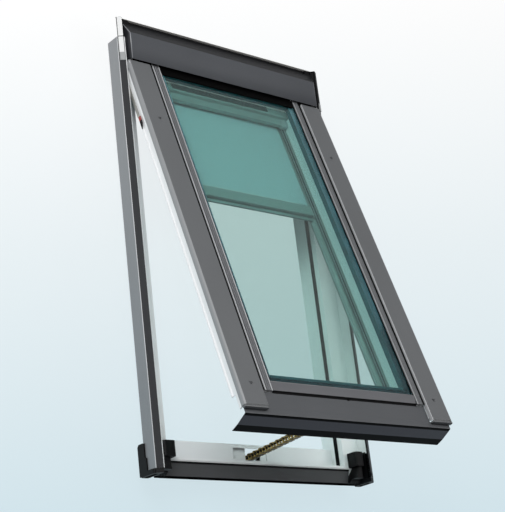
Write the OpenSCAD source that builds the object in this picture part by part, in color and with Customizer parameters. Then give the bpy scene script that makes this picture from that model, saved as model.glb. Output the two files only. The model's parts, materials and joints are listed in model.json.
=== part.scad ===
// Roof skylight: a top-hung sash on a curb frame, pushed open by a chain drive in the sill.
// The frame lies flat: X is the width, Y runs up the slope, Z points out of the roof.
// The origin is under the middle of the frame, on the lower edge of the inner lining.

/* [Frame] */
// Width over the side cladding
frame_w = 780; // [660:5:940]
// Length from the corner feet at the sill to the head casing
frame_l = 1346; // [1100:5:1600]
// Height of the inner lining, up to the ledge that the sash closes on
lining_h = 84; // [70:1:110]
// Thickness of the lining walls
lining_t = 15; // [11:0.5:18]
// Thickness of the flange that sits on the curb
flange_t = 9; // [6:0.5:14]
// Width of a jamb, from its cladding to the clear opening
jamb_w = 77; // [72:1:90]
// Width of the head, from its casing to the clear opening
head_w = 153; // [148:1:175]
// Width of the sill, from the corner feet to the inner face of its lining
sill_w = 53; // [50:1:58]

/* [Cladding] */
// Thickness of the metal sheets
sheet_t = 1.3; // [0.8:0.1:1.6]
// Height of the cladding's outer side wall
side_wall_h = 47; // [40:1:52]
// Width of the sloped front strip of a jamb
strip_w = 19; // [17:0.5:22]
// Rise of that strip towards the sash
strip_rise = 11; // [7:0.5:13]
// Height of the strip's outer edge above the ledge
strip_edge_h = 34; // [30:0.5:36]

/* [Sash] */
// Distance of the hinge axis from the head casing
hinge_place = 128; // [124:1:132]
// Angle of the sash when it is fully open
open_angle = 17.1; // [8:0.1:20]
// Gap between the sash and the jambs on each side
side_gap = 3; // [2:0.25:5]
// Depth of the sash from its front face to its underside
sash_depth = 41; // [39:0.5:42]
// Width of a side cover
cover_w = 77; // [74:1:84]
// Depth of a side cover's outer wall
cover_h = 15; // [13:0.5:16]
// Step from the side covers down to the face of the bottom cover
face_step = 14; // [13:0.5:14.5]
// Depth of the bottom skirt below the front face
skirt_h = 79; // [70:1:82]

/* [Glazing] */
// Thickness of one pane
pane_t = 4; // [3:0.5:5]
// Thickness of the whole sealed unit
unit_t = 24; // [20:0.5:25]
// Width of a glazing bead beside the glass
bead_w = 35; // [30:1:38]
// Width of the dark spacer at the sides of the unit
spacer_w = 44; // [36:1:50]

/* [Chain drive] */
// Number of links in the pushed-out chain, an even number
chain_links = 30; // [26:2:34]
// Radius of a link plate's round ends
link_r = 4.8; // [4.2:0.1:5]
// Width of the actuator casing across the sill
casing_w = 60; // [54:1:66]
// Height of the actuator casing
casing_h = 34; // [32:1:40]
// Length of the slot that the chain leaves through
slot_l = 120; // [90:1:140]
// Width of that slot
slot_w = 34; // [32:1:36]

/* [Blind] */
// Length of the cloth that is pulled out, as a share of the way down
cloth_share = 0.35; // [0.1:0.01:0.8]
// Height of the bottom bar along the fabric
bar_h = 48; // [40:1:60]
// Radius of the roller with its fabric
roller_r = 11; // [9:0.5:12]
// Thickness of the fabric
fabric_t = 0.8; // [0.5:0.1:1.2]

/* [Mounting] */
// Distance of a mounting hole from the outer face of its jamb
hole_edge = 40; // [34:0.5:46]
// Distance of a mounting hole from the nearer end of the frame
hole_end = 223; // [150:1:320]
// Radius of a mounting hole
hole_r = 3; // [2.5:0.25:4]

/* [Hidden] */
$fn = 48;

// Clearances: faces that only meet, a turning pin, and a pin of the chain
touch = 0.2;
run = 0.06;
link_play = 0.12;
// A cut that has to break through a face reaches this far past it
over = 1;

// Colours
white = "whitesmoke";
side_grey = "dimgray";
dark_grey = "#3c3d40";
black = "#161618";
metal = "silver";
glass_tint = "#66999588";

// Levels of the frame
ledge_z = lining_h;
seat_z = ledge_z - flange_t;
front_z = ledge_z + strip_edge_h;
top_z = front_z + strip_rise;
wall_z = front_z - side_wall_h;
half_w = frame_w / 2;
y_lo = -frame_l / 2;
y_hi = frame_l / 2;
foot_l = 13;
jamb_y0 = y_lo + foot_l;
head_in = y_hi - head_w;
sill_in = y_lo + sill_w;
open_x = half_w - jamb_w;
upstand_x = half_w - strip_w + sheet_t;
strip_slope = strip_rise / strip_w;
strip_drop = sheet_t * sqrt(1 + strip_slope * strip_slope);
cladding_end = y_hi - 66;
head_box = 105;
head_box_z = ledge_z + 24;
jamb_joint = 45;
tongue_l = 52;

// Sill cladding, from its drip edge up to the ledge
sill_low = 4.5;
sill_high = 46;
sill_low_z = ledge_z - 12.5;
sill_high_z = ledge_z + 0.5;
sill_drip = 20;
sill_start = 24;
sill_half = open_x + 16;
sill_rail_half = half_w - jamb_joint - touch;
sill_slope = (sill_high_z - sill_low_z) / (sill_high - sill_low);
sill_drop = sheet_t * sqrt(1 + sill_slope * sill_slope);

// Hinge axis and the closed sash
hinge_y = y_hi - hinge_place;
hinge_z = ledge_z + 8;
pin_r = 4;
eye_r = 6.5;
sash_inset = 6.7;
sash_y0 = jamb_y0 + sash_inset;
sash_x = half_w - strip_w - side_gap;
sash_low_z = top_z - sash_depth;
stile_x = sash_x - 2;
cover_in = sash_x - cover_w;
face_z = top_z - face_step;
skirt_x = sash_x - 5;
stile_end = hinge_y - 27;
sash_end = hinge_y + 8;
tail_x = half_w - 45;
pocket_l = 92;
end_l = 8;
cover_t = 1.5;
cover_fit = cover_t + 0.3;
unit_play = 1.5;

// Sealed glass unit
unit_top = face_z + 2;
unit_low = unit_top - unit_t;
unit_x = cover_in - 7;
unit_y0 = sash_y0 + 68;
unit_y1 = stile_end - 12.5;
bead_x = cover_in - bead_w - 1;
lip_x = bead_x + 7;
lip_low = sash_y0 + pocket_l;
lip_top = unit_y1 - 15;
bead_y0 = sash_y0 + 58.5;
bead_y1 = stile_end + 14;
face_end = sash_y0 + 58;
bottom_bead_h = 32;
tail_z = unit_top + 3;

// Hood over the hinges
hood_z = top_z + 10;
hood_low = hinge_y - 13;
hood_face = y_hi - 54;
hood_back = y_hi - 15;
hood_x = half_w - 34;
hood_foot_x = half_w - 24;
hood_foot_z = front_z - 2;

// Blind below the glass
blind_z = sash_low_z;
rail_x = bead_x + 19;
rail_w = 24;
rail_h = 24;
rail_y0 = sash_y0 + 100;
cassette_y0 = lip_top - 32;
cassette_y1 = head_in - 7;
cassette_h = 38;
cassette_t = 2;
slot_z = blind_z - 12;
roller_y = (cassette_y0 + cassette_y1) / 2;
roller_z = slot_z - roller_r - fabric_t / 2;
journal_r = 4;
journal_l = 11;
roller_half = rail_x - 12;
bar_y0 = rail_y0 + (cassette_y0 - bar_h - rail_y0) * (1 - cloth_share);
bar_half = rail_x - rail_w - 3;
bar_t = 15;
bar_lip = 13;

// Chain drive
casing_y1 = sill_in + casing_w;
casing_z0 = 2;
casing_z1 = casing_z0 + casing_h;
casing_half = open_x - 1;
chain_y = sill_in + casing_w / 2 - 7;
slot_y = sill_in + casing_w / 2 + 2;
chain_z = casing_z0 + casing_h / 2;
bracket_y = sash_y0 + 44;
bracket_z = sash_low_z - 18;
teeth = 8;
opened = [hinge_y + (bracket_y - hinge_y) * cos(open_angle) + (bracket_z - hinge_z) * sin(open_angle),
          hinge_z - (bracket_y - hinge_y) * sin(open_angle) + (bracket_z - hinge_z) * cos(open_angle)];
chain_run = norm([opened[0] - chain_y, opened[1] - chain_z]);
chain_lean = atan2(opened[0] - chain_y, opened[1] - chain_z);
pitch = chain_run / (chain_links + 1);
plate_t = 1.5;
inner_gap = 3.1;
pin_chain_r = 1.8;
bush_r = 2.6;
sprocket_r = pitch / (2 * sin(180 / teeth));

// Placing: a section drawn in X and Z runs along Y, one drawn in Y and Z runs along X
module along_y(y0, y1) {
    translate([0, y1, 0]) rotate([90, 0, 0]) linear_extrude(y1 - y0) children();
}
module along_x(x0, x1) {
    translate([x0, 0, 0]) rotate([90, 0, 90]) linear_extrude(x1 - x0) children();
}
module box(low, high) {
    translate(low) cube(high - low);
}
module both_sides() {
    children();
    mirror([1, 0, 0]) children();
}
module right_hand() {
    mirror([1, 0, 0]) children();
}
// Turns a piece of the closed sash to its open place
module opened_sash() {
    translate([0, hinge_y, hinge_z]) rotate([-open_angle, 0, 0])
        translate([0, -hinge_y, -hinge_z]) children();
}
// A section of a left-hand piece, with u measured inwards from the outer face of the frame
function from_left(points) = [for (p = points) [p[0] - half_w, p[1]]];
// A section of a left-hand piece, with u measured outwards from the middle
function left_of(points) = [for (p = points) [-p[0], p[1]]];
// A section across the sill, with v measured up from the corner feet
function from_sill(points) = [for (p = points) [y_lo + p[0], p[1]]];
// A section across the head, with w measured down from the casing
function from_head(points) = [for (p = points) [y_hi - p[0], p[1]]];
// Underside of the sloped strip at a distance from the outer face
function strip_under(u) = front_z + strip_slope * u - strip_drop;
// Underside of the sill cladding at a distance from the feet
function sill_under(v) = sill_low_z + sill_slope * (v - sill_low) - sill_drop;

// Rectangle with round upper corners
module round_top(x0, z0, x1, z1, r) {
    translate([x0, z0]) square([x1 - x0, z1 - z0 - r]);
    translate([x0 + r, z0]) square([x1 - x0 - 2 * r, z1 - z0]);
    translate([x0 + r, z1 - r]) circle(r);
    translate([x1 - r, z1 - r]) circle(r);
}
// Rectangle with four round corners
module round_box(x0, z0, x1, z1, r) {
    translate([x0, z0 + r]) square([x1 - x0, z1 - z0 - 2 * r]);
    translate([x0 + r, z0]) square([x1 - x0 - 2 * r, z1 - z0]);
    for (x = [x0 + r, x1 - r], z = [z0 + r, z1 - r]) translate([x, z]) circle(r);
}

// White frame
module jamb() {
    inner = strip_w - sheet_t;
    color(white) difference() {
        along_y(jamb_y0, y_hi - sheet_t) polygon(from_left([
            [sheet_t, seat_z], [sheet_t, strip_under(sheet_t) - touch], [inner, strip_under(inner) - touch],
            [inner, ledge_z], [jamb_w, ledge_z], [jamb_w, 0],
            [jamb_w - lining_t, 0], [jamb_w - lining_t, seat_z]]));
        // The sill rail and the head take over at the ends
        box([-half_w + jamb_joint, jamb_y0 - over, -over], [-open_x + over, sill_in + touch, ledge_z + over]);
        box([-half_w + inner + over, jamb_y0 - over, -over], [-open_x + over, sill_in + touch, seat_z]);
        box([-half_w + inner + over, head_in + lining_t, -over], [-open_x + over, y_hi, seat_z]);
        box([-half_w - over, cladding_end, -over], [-half_w + jamb_joint, y_hi, top_z + over]);
        for (y = [y_lo + hole_end, y_hi - hole_end])
            translate([-half_w + hole_edge, y, seat_z - over]) cylinder(r = hole_r, h = flange_t + 2 * over);
    }
}
module jamb_left() { jamb(); }
module jamb_right() { right_hand() jamb(); }
module sill_rail() {
    wall = sill_w - lining_t + 2;
    step = sill_high + 0.3;
    start_z = max(sill_under(sill_start) - 2 * touch, seat_z + 0.1);
    color(white) {
        along_x(-sill_rail_half, sill_rail_half) polygon(from_sill([
            [sill_start, seat_z], [sill_w, seat_z], [sill_w, ledge_z], [step, ledge_z],
            [step, sill_under(step) - 2 * touch], [sill_start, start_z]]));
        box([-open_x - lining_t, y_lo + wall, 0], [open_x + lining_t, sill_in, seat_z]);
    }
}
module head_rail() {
    box_half = half_w - strip_w - 0.5;
    end_half = half_w - jamb_joint;
    color(white) {
        box([-open_x, head_in, seat_z], [open_x, y_hi - sheet_t, ledge_z]);
        box([-open_x, head_in, 0], [open_x, head_in + lining_t, seat_z]);
        box([-box_half, y_hi - head_box, ledge_z], [box_half, cladding_end, head_box_z]);
        box([-end_half, cladding_end - over, ledge_z], [end_half, y_hi - sheet_t, head_box_z]);
    }
}

// Metal cladding
module jamb_cover() {
    hem = 6;
    inner = strip_w - sheet_t;
    color(side_grey) along_y(jamb_y0, cladding_end) polygon(from_left([
        [0, wall_z], [0, front_z], [strip_w, top_z], [strip_w, top_z - hem], [inner, top_z - hem],
        [inner, strip_under(inner)], [sheet_t, strip_under(sheet_t)], [sheet_t, wall_z]]));
}
module jamb_cover_left() { jamb_cover(); }
module jamb_cover_right() { right_hand() jamb_cover(); }
module sill_cover() {
    inner = sill_low + sheet_t;
    color(dark_grey) along_x(-sill_half, sill_half) polygon(from_sill([
        [sill_low, sill_low_z - sill_drip], [sill_low, sill_low_z], [sill_high, sill_high_z],
        [sill_high, sill_under(sill_high)], [inner, sill_under(inner)], [inner, sill_low_z - sill_drip]]));
}
module head_casing() {
    flange = 60;
    lip_z = front_z + 1;
    lip_h = 5;
    lip_half = half_w - 3;
    half = half_w - jamb_joint + sheet_t;
    color(metal) {
        along_x(-half, half) polygon(from_head([
            [0, wall_z], [0, lip_z], [sheet_t, lip_z], [sheet_t, head_box_z + touch + sheet_t],
            [flange, head_box_z + touch + sheet_t], [flange, head_box_z + touch],
            [sheet_t, head_box_z + touch], [sheet_t, wall_z]]));
        // The lip runs on to the outer edges
        box([-lip_half, y_hi - sheet_t, lip_z - lip_h], [lip_half, y_hi, lip_z]);
    }
}
// End strip of the head casing, which laps down onto the jamb beside the hood
module casing_end() {
    reach = [3, 15];
    thick = 3;
    lift = 0.1;
    color(white) along_y(cladding_end - tongue_l, y_hi - sheet_t - touch) polygon(from_left([
        for (u = reach) [u, front_z + strip_slope * u + lift],
        for (u = [reach[1], reach[0]]) [u, front_z + strip_slope * u + thick]]));
}
module casing_end_left() { casing_end(); }
module casing_end_right() { right_hand() casing_end(); }
module hood_clips() {
    reach = [3, 15];
    length = 26;
    end = cladding_end - tongue_l - touch;
    color("gray") both_sides() along_y(end - length, end) polygon(from_left([
        for (u = reach) [u, front_z + strip_slope * u + 0.1],
        for (u = [reach[1], reach[0]]) [u, front_z + strip_slope * u + 4.5]]));
}
// One folded sheet: a flat face, a band that slopes back and two sloped cheeks
module hood_block(wall) {
    hull() {
        box([-hood_x + wall, hood_low, hood_z - wall - 0.01],
            [hood_x - wall, hood_face - wall, hood_z - wall]);
        box([-hood_foot_x + wall, hood_low, hood_foot_z],
            [hood_foot_x - wall, hood_back - wall, hood_foot_z + 0.01]);
    }
}
module hood() {
    hood_t = 1.5;
    hem_r = 1.4;
    wing_in = 8;
    foot = [hood_back - 12, hood_back - 10];
    color("#54555a") difference() {
        union() {
            hood_block(0);
            // Hemmed lower edge
            along_x(-hood_x + 1, hood_x - 1) translate([hood_low + 0.2, hood_z - hem_r]) circle(hem_r);
            // Foot on the head casing
            box([-hood_foot_x + 6, foot[0], head_box_z + touch + sheet_t],
                [hood_foot_x - 6, foot[1], hood_foot_z + 2]);
            // Wings beside the cheeks, over the ends of the head
            both_sides() box([-half_w + wing_in, cladding_end + touch, hood_foot_z],
                             [-hood_foot_x + hood_t, y_hi - sheet_t - touch, hood_foot_z + hood_t]);
        }
        difference() {
            translate([0, -0.01, -0.01]) hood_block(hood_t);
            box([-hood_foot_x, foot[0], hood_foot_z - over], [hood_foot_x, foot[1], hood_foot_z + 6]);
        }
    }
}

// Moulded corner: end cap of the jamb, side tab, ribbed apron and an upright block under the sash
module corner_block() {
    cap_in = strip_w + 1;
    tab_t = 4.5;
    apron_in = half_w - sill_half - 0.5;
    apron_t = 2.5;
    back = foot_l - touch;
    block_x = [30, jamb_w - 5];
    block_y = [sill_high + 1, 89];
    block_h = 37;
    low_block_h = 28;
    end_wall_t = 2.5;
    liner_t = 2.6;
    liner_h = 33;
    rib_count = 5;
    color(black) {
        // Cap on the open end of the jamb
        difference() {
            along_y(y_lo, jamb_y0 - touch) translate([-half_w, 0]) union() {
                round_box(-tab_t, wall_z - 18, cap_in, front_z - 4, 6);
                polygon([[0, front_z - 12], [0, front_z - 1], [strip_w, top_z - 2],
                         [cap_in, top_z - 6], [cap_in, front_z - 12]]);
            }
            along_y(y_lo - over, y_lo + 3) translate([-half_w, 0])
                round_box(1, wall_z - 12, cap_in - 5, front_z - 10, 4);
        }
        // Tab that laps down the side of the curb, with a stepped top
        along_x(-half_w - tab_t, -half_w) polygon(from_sill([
            [2, wall_z - 22], [2, ledge_z], [46, ledge_z], [50, ledge_z - 6], [86, ledge_z - 6],
            [88, ledge_z - 10], [88, wall_z - 16], [82, wall_z - 22]]));
        // Apron beside the sill cladding, with ribs
        along_x(-half_w + cap_in - 4, -half_w + apron_in) polygon(from_sill([
            [5.5, wall_z - 6], [5.5, ledge_z - 5], [11, ledge_z + apron_t],
            [back, ledge_z + apron_t], [back, wall_z - 6]]));
        box([-half_w + strip_w + 0.5, y_lo + 12, ledge_z + touch],
            [-half_w + apron_in, y_lo + block_y[0] + 1, ledge_z + apron_t]);
        for (i = [0 : rib_count - 1])
            translate([-half_w + cap_in + 4 + i * (apron_in - cap_in - 6) / (rib_count - 1), 0, 0])
                along_x(-1, 1) polygon(from_sill([
                    [4, wall_z - 4], [4, ledge_z - 6], [11, ledge_z + apron_t + 1],
                    [block_y[0] - 1, ledge_z + apron_t + 1], [block_y[0] - 1, ledge_z + touch],
                    [back, ledge_z + touch], [back, wall_z - 4]]));
        // Wall that closes the end of the sill cladding
        along_x(-half_w + apron_in - end_wall_t, -half_w + apron_in) polygon(from_sill([
            [5.5, wall_z - 6], [5.5, ledge_z - 5], [11, ledge_z + apron_t],
            [block_y[0] + 1, ledge_z + apron_t], [block_y[0] + 1, ledge_z + touch],
            [sill_high, ledge_z + touch],
            [sill_start - touch, sill_under(sill_start) - touch], [sill_start - touch, wall_z - 6]]));
        // Liner on the upstand beside the sash
        box([-upstand_x + touch, jamb_y0, ledge_z + touch],
            [-upstand_x + liner_t, y_lo + block_y[1], ledge_z + liner_h]);
        // Upright block on the ledge
        along_y(y_lo + block_y[0], y_lo + block_y[1]) translate([-half_w, 0])
            round_top(block_x[0], ledge_z + touch, block_x[1], ledge_z + block_h, 8);
        along_y(y_lo + foot_l + touch, y_lo + block_y[0] + 1) translate([-half_w, 0])
            round_top(block_x[0], ledge_z + touch, apron_in, ledge_z + low_block_h, 8);
    }
}
module corner_block_left() { corner_block(); }
module corner_block_right() { right_hand() corner_block(); }

// Rubber seal: a double lip on the inner face of the lining, with a foot on the sill and on the head
module gasket_ring(inset, width, z0, z1) {
    difference() {
        box([-open_x - inset - width, sill_in - inset - width, z0],
            [open_x + inset + width, head_in + inset + width, z1]);
        box([-open_x - inset, sill_in - inset, z0 - over], [open_x + inset, head_in + inset, z1 + over]);
    }
}
module frame_gasket() {
    flap = 1.4;
    flap_h = 17;
    lip = 2.2;
    lip_h = 4.5;
    foot_w = sill_w - sill_high - 0.5;
    foot_t = 1.4;
    color(black) {
        gasket_ring(-flap, flap, ledge_z - flap_h, ledge_z);
        for (z = [ledge_z - flap_h, ledge_z - lip_h]) gasket_ring(-lip, lip, z, z + lip_h);
        box([-open_x, sill_in - foot_w, ledge_z], [open_x, sill_in + flap, ledge_z + foot_t]);
        box([-open_x, head_in - flap, ledge_z], [open_x, head_in + foot_w, ledge_z + foot_t]);
    }
}
// Pan-head screw with a cross recess, on a face that looks along Z
module screw_head(r, h) {
    difference() {
        union() {
            cylinder(r = r, h = h * 0.55);
            cylinder(r = r * 0.8, h = h);
        }
        for (turn = [0, 90]) rotate([0, 0, turn])
            translate([-r * 0.6, -r * 0.14, h * 0.5]) cube([r * 1.2, r * 0.28, h]);
    }
}
module frame_screws() {
    place = 10;
    color(metal) both_sides()
        translate([-half_w + place, jamb_y0 + 9, front_z + strip_slope * place])
            rotate([0, -atan(strip_slope), 0]) translate([0, 0, 0.05]) screw_head(3.4, 1.8);
}

// Hinges: a plate and a pin on each jamb, an arm along each stile
module hinge_plate() {
    plate = [2, 46, 26];
    color(metal) difference() {
        translate([-upstand_x, hinge_y - 26, ledge_z + touch]) cube(plate);
        translate([-upstand_x - over, hinge_y, hinge_z]) rotate([0, 90, 0])
            cylinder(r = pin_r + run, h = plate[0] + 2 * over);
    }
}
module hinge_plate_left() { hinge_plate(); }
module hinge_plate_right() { right_hand() hinge_plate(); }
module hinge_pins() {
    pin_end = stile_x - 4.5;
    color(metal) both_sides() translate([-upstand_x, hinge_y, hinge_z]) rotate([0, 90, 0]) {
        cylinder(r = pin_r, h = upstand_x - pin_end);
        translate([0, 0, upstand_x - pin_end]) cylinder(r = eye_r - 0.5, h = 2);
    }
}
arm_x = stile_x + 0.3;
arm_t = 2;
arm_l = 220;
clip_l = 14;
module hinge_arm() {
    color(metal) opened_sash() difference() {
        along_x(-arm_x - arm_t, -arm_x) union() {
            translate([hinge_y, hinge_z]) circle(eye_r);
            translate([hinge_y - arm_l, hinge_z - 4]) square([arm_l, 9]);
        }
        translate([-arm_x - arm_t - over, hinge_y, hinge_z]) rotate([0, 90, 0])
            cylinder(r = pin_r + run, h = arm_t + 2 * over);
    }
}
module hinge_arm_left() { hinge_arm(); }
module hinge_arm_right() { right_hand() hinge_arm(); }
module hinge_clips() {
    color("firebrick") opened_sash() both_sides() along_x(-arm_x - arm_t, -arm_x)
        translate([hinge_y - arm_l - clip_l, hinge_z - 2]) square([clip_l - touch, 10]);
}
module arm_ends() {
    start = hinge_y - arm_l - clip_l - touch;
    length = 28;
    color(black) opened_sash() both_sides() along_x(-arm_x - arm_t, -arm_x) translate([start, hinge_z - 2])
        polygon([[0, 0], [0, 10], [-8, 10], [-length, 3.5], [-length, 0]]);
}

// Chain drive in the sill
module actuator_casing() {
    wall = 2;
    color(white) difference() {
        along_x(-casing_half, casing_half) translate([sill_in + touch, casing_z0])
            round_top(0, 0, casing_w, casing_h, 3);
        box([-casing_half + wall, sill_in + touch + wall, casing_z0 - over],
            [casing_half - wall, casing_y1 - wall, casing_z1 - wall]);
        box([-slot_l / 2, slot_y - slot_w / 2, casing_z1 - wall - over],
            [slot_l / 2, slot_y + slot_w / 2, casing_z1 + over]);
    }
}
motor_x = sprocket_r + 26;
spindle_r = 3;
module actuator_motor() {
    motor_r = 13;
    motor_l = 90;
    gearbox = [30, 36, 27];
    foot = 10;
    motor_y = chain_y - gearbox[1] / 2;
    motor_end = motor_x + gearbox[0] + motor_l;
    color("dimgray") {
        difference() {
            translate([motor_x, motor_y, chain_z - gearbox[2] / 2]) cube(gearbox);
            box([motor_x - over, chain_y - 8, chain_z - 8], [motor_x + 16, chain_y + 8, chain_z + 8]);
        }
        translate([motor_x + gearbox[0], chain_y, chain_z]) rotate([0, 90, 0])
            cylinder(r = motor_r, h = motor_l);
        // Bracket to the end wall of the casing
        box([motor_end, chain_y - foot, casing_z0], [casing_half - 2, chain_y + foot, casing_z0 + 6]);
        box([motor_end - foot, chain_y - foot, casing_z0], [motor_end + 2, chain_y + foot, chain_z - foot]);
        // Arm that carries the sprocket's spindle
        box([sprocket_r - 7, chain_y + 8, chain_z - 7], [motor_x + 1, chain_y + 13, chain_z + 7]);
        translate([sprocket_r, chain_y + 9, chain_z]) rotate([90, 0, 0]) cylinder(r = spindle_r, h = 16);
    }
}
module drive_sprocket() {
    width = 3.6;
    color(metal) translate([sprocket_r, chain_y, chain_z]) rotate([90, 0, 0]) difference() {
        union() {
            translate([0, 0, -width / 2]) cylinder(r = sprocket_r - 1.6, h = width);
            translate([0, 0, -6.5]) cylinder(r = 6, h = 13);
        }
        for (i = [0 : teeth - 1]) rotate([0, 0, i * 360 / teeth])
            translate([-sprocket_r, 0, -width]) cylinder(r = bush_r + 0.8, h = 2 * width);
        translate([0, 0, -10]) cylinder(r = spindle_r + run, h = 20);
    }
}
// Push chain: a link plate has two round ends and a stop lug on its back
module link_plate(y0) {
    translate([0, y0 + plate_t, 0]) rotate([90, 0, 0]) linear_extrude(plate_t) {
        circle(link_r);
        translate([0, pitch]) circle(link_r);
        translate([-link_r * 0.8, 0]) square([link_r * 1.6, pitch]);
        translate([-link_r - 1.6, pitch * 0.2]) square([link_r + 1.6, pitch * 0.6]);
    }
}
module chain_bar(r, half, z) {
    translate([0, half, z]) rotate([90, 0, 0]) cylinder(r = r, h = 2 * half);
}
module outer_link() {
    outside = inner_gap + plate_t + 0.2;
    for (y0 = [-outside - plate_t, outside]) link_plate(y0);
    for (z = [0, pitch]) chain_bar(pin_chain_r, outside + plate_t + 0.6, z);
}
module inner_link() {
    difference() {
        union() {
            for (y0 = [-inner_gap - plate_t, inner_gap]) link_plate(y0);
            for (z = [0, pitch]) chain_bar(bush_r, inner_gap, z);
        }
        for (z = [0, pitch]) chain_bar(pin_chain_r + link_play, inner_gap + plate_t + over, z);
    }
}
module chain() {
    color("darkgoldenrod") translate([0, chain_y, chain_z]) rotate([-chain_lean, 0, 0])
        for (i = [0 : chain_links - 1])
            translate([0, 0, i * pitch]) if (i % 2 == 0) inner_link(); else outer_link();
}
// Sash end of the chain: a bracket on the bottom rail, a pin along X and the eye that the last link ends in
ear_x = 9;
ear_t = 3;
end_pin_r = 3;
module chain_bracket() {
    plate = [60, 32, 3];
    ear_r = 7;
    color(metal) opened_sash() difference() {
        union() {
            translate([-plate[0] / 2, bracket_y - ear_r, sash_low_z - plate[2]]) cube(plate);
            both_sides() along_x(-ear_x - ear_t, -ear_x) union() {
                translate([bracket_y, bracket_z]) circle(ear_r);
                translate([bracket_y - ear_r, bracket_z]) square([2 * ear_r, sash_low_z - 1 - bracket_z]);
            }
        }
        translate([-ear_x - ear_t - over, bracket_y, bracket_z]) rotate([0, 90, 0])
            cylinder(r = end_pin_r + run, h = 2 * (ear_x + ear_t + over));
    }
}
module bracket_pin() {
    head_t = 1.8;
    start = ear_x + ear_t + head_t + touch;
    color(metal) opened_sash() translate([-start, bracket_y, bracket_z]) rotate([0, 90, 0]) {
        cylinder(r = end_pin_r, h = start + ear_x + ear_t + over);
        cylinder(r = end_pin_r + 2, h = head_t);
    }
}
module chain_end() {
    tongue = inner_gap + plate_t - 0.1;
    eye_half = ear_x - 0.3;
    last = chain_links * pitch;
    color(metal) difference() {
        union() {
            translate([-eye_half, opened[0], opened[1]]) rotate([0, 90, 0])
                cylinder(r = 5.4, h = 2 * eye_half);
            translate([0, chain_y, chain_z]) rotate([-chain_lean, 0, 0]) {
                box([-link_r, -tongue, last], [link_r, tongue, chain_run]);
                chain_bar(link_r, tongue, last);
            }
        }
        translate([-ear_x, opened[0], opened[1]]) rotate([0, 90, 0])
            cylinder(r = end_pin_r + run, h = 2 * ear_x);
        translate([0, chain_y, chain_z]) rotate([-chain_lean, 0, 0])
            chain_bar(pin_chain_r + link_play, tongue + over, last);
    }
}

// White sash: ridged stiles, a bottom rail with hollow corners and a tail under the hood
module sash_stile() {
    groove = [4, 6, 15, 17];
    groove_d = 3;
    wall = 4.5;
    roof_z = top_z - cover_fit - 3;
    notch_l = 50;
    notch_h = 12;
    color(white) opened_sash() difference() {
        along_y(sash_y0 + end_l, lip_top) polygon(left_of([
            [lip_x, sash_low_z], [lip_x, unit_low - touch], [unit_x + unit_play, unit_low - touch],
            [unit_x + unit_play, unit_top + touch], [cover_in + cover_fit, unit_top + touch],
            [cover_in + cover_fit, top_z - cover_fit], [stile_x, top_z - cover_fit],
            [stile_x, sash_low_z + groove[3]], [stile_x - groove_d, sash_low_z + groove[2]],
            [stile_x - groove_d, sash_low_z + groove[1]], [stile_x, sash_low_z + groove[0]],
            [stile_x, sash_low_z]]));
        // Hollow corner behind the skirt, room for the bottom cover, and a lower edge that stops short
        box([-stile_x + wall, sash_y0, sash_low_z - over], [-lip_x + over, lip_low + touch, roof_z]);
        box([-stile_x - over, sash_y0, sash_low_z - over],
            [-stile_x + wall + over, sash_y0 + notch_l, sash_low_z + notch_h]);
        box([-cover_in - cover_fit, sash_y0, sash_low_z - over], [-lip_x + over, lip_low + touch, top_z]);
    }
}
module sash_stile_left() { sash_stile(); }
module sash_stile_right() { right_hand() sash_stile(); }
module sash_top_rail() {
    inner = cover_in + cover_fit;
    color(white) opened_sash() {
        difference() {
            box([-stile_x, lip_top + touch, sash_low_z], [stile_x, stile_end, top_z - cover_fit]);
            box([-unit_x - unit_play, lip_top, unit_low - touch],
                [unit_x + unit_play, unit_y1 + touch, top_z]);
            box([-inner, lip_top, tail_z], [inner, stile_end + over, top_z]);
            box([-inner, lip_top, unit_top + touch], [inner, unit_y1 + touch, top_z]);
            // Slots for the glazing beads and the inner walls of the side covers
            both_sides()
                box([-inner, lip_top, unit_top + touch], [-bead_x + touch, stile_end + over, top_z]);
        }
        difference() {
            box([-tail_x, stile_end, sash_low_z], [tail_x, sash_end, tail_z]);
            both_sides() box([-bead_x - bead_w - touch, stile_end - over, unit_top + touch],
                             [-bead_x + touch, bead_y1 + touch, top_z]);
        }
    }
}
module sash_bottom_rail() {
    rail_half = stile_x - 62;
    front = sash_y0 + 18;
    shelf = unit_y0 - unit_play;
    rail_z = face_z - sheet_t - touch;
    color(white) opened_sash() along_x(-rail_half, rail_half) polygon([
        [front, sash_low_z], [lip_low, sash_low_z], [lip_low, unit_low - touch], [shelf, unit_low - touch],
        [shelf, rail_z], [front, rail_z]]);
}

// Grey covers over the sash
module side_cover() {
    low = top_z - cover_h;
    color("#66686a") opened_sash() along_y(sash_y0 + end_l, stile_end) mirror([1, 0]) difference() {
        round_top(cover_in, low, sash_x, top_z, 3.5);
        round_top(cover_in + cover_t, low - over, sash_x - cover_t, top_z - cover_t, 0.8);
        // The inner wall ends above the glass
        translate([cover_in - over, low - over]) square([cover_t + 2 * over, over + unit_top + 0.5 - low]);
    }
}
module side_cover_left() { side_cover(); }
module side_cover_right() { right_hand() side_cover(); }
module cover_end() {
    r = 6.5;
    length = end_l - touch;
    height = face_step - touch;
    color("#66686a") opened_sash() along_x(-sash_x, -cover_in) translate([sash_y0, face_z + touch])
        intersection() {
            square([length, height]);
            round_top(0, 0, 2 * length, height, r);
        }
}
module cover_end_left() { cover_end(); }
module cover_end_right() { right_hand() cover_end(); }
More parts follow.
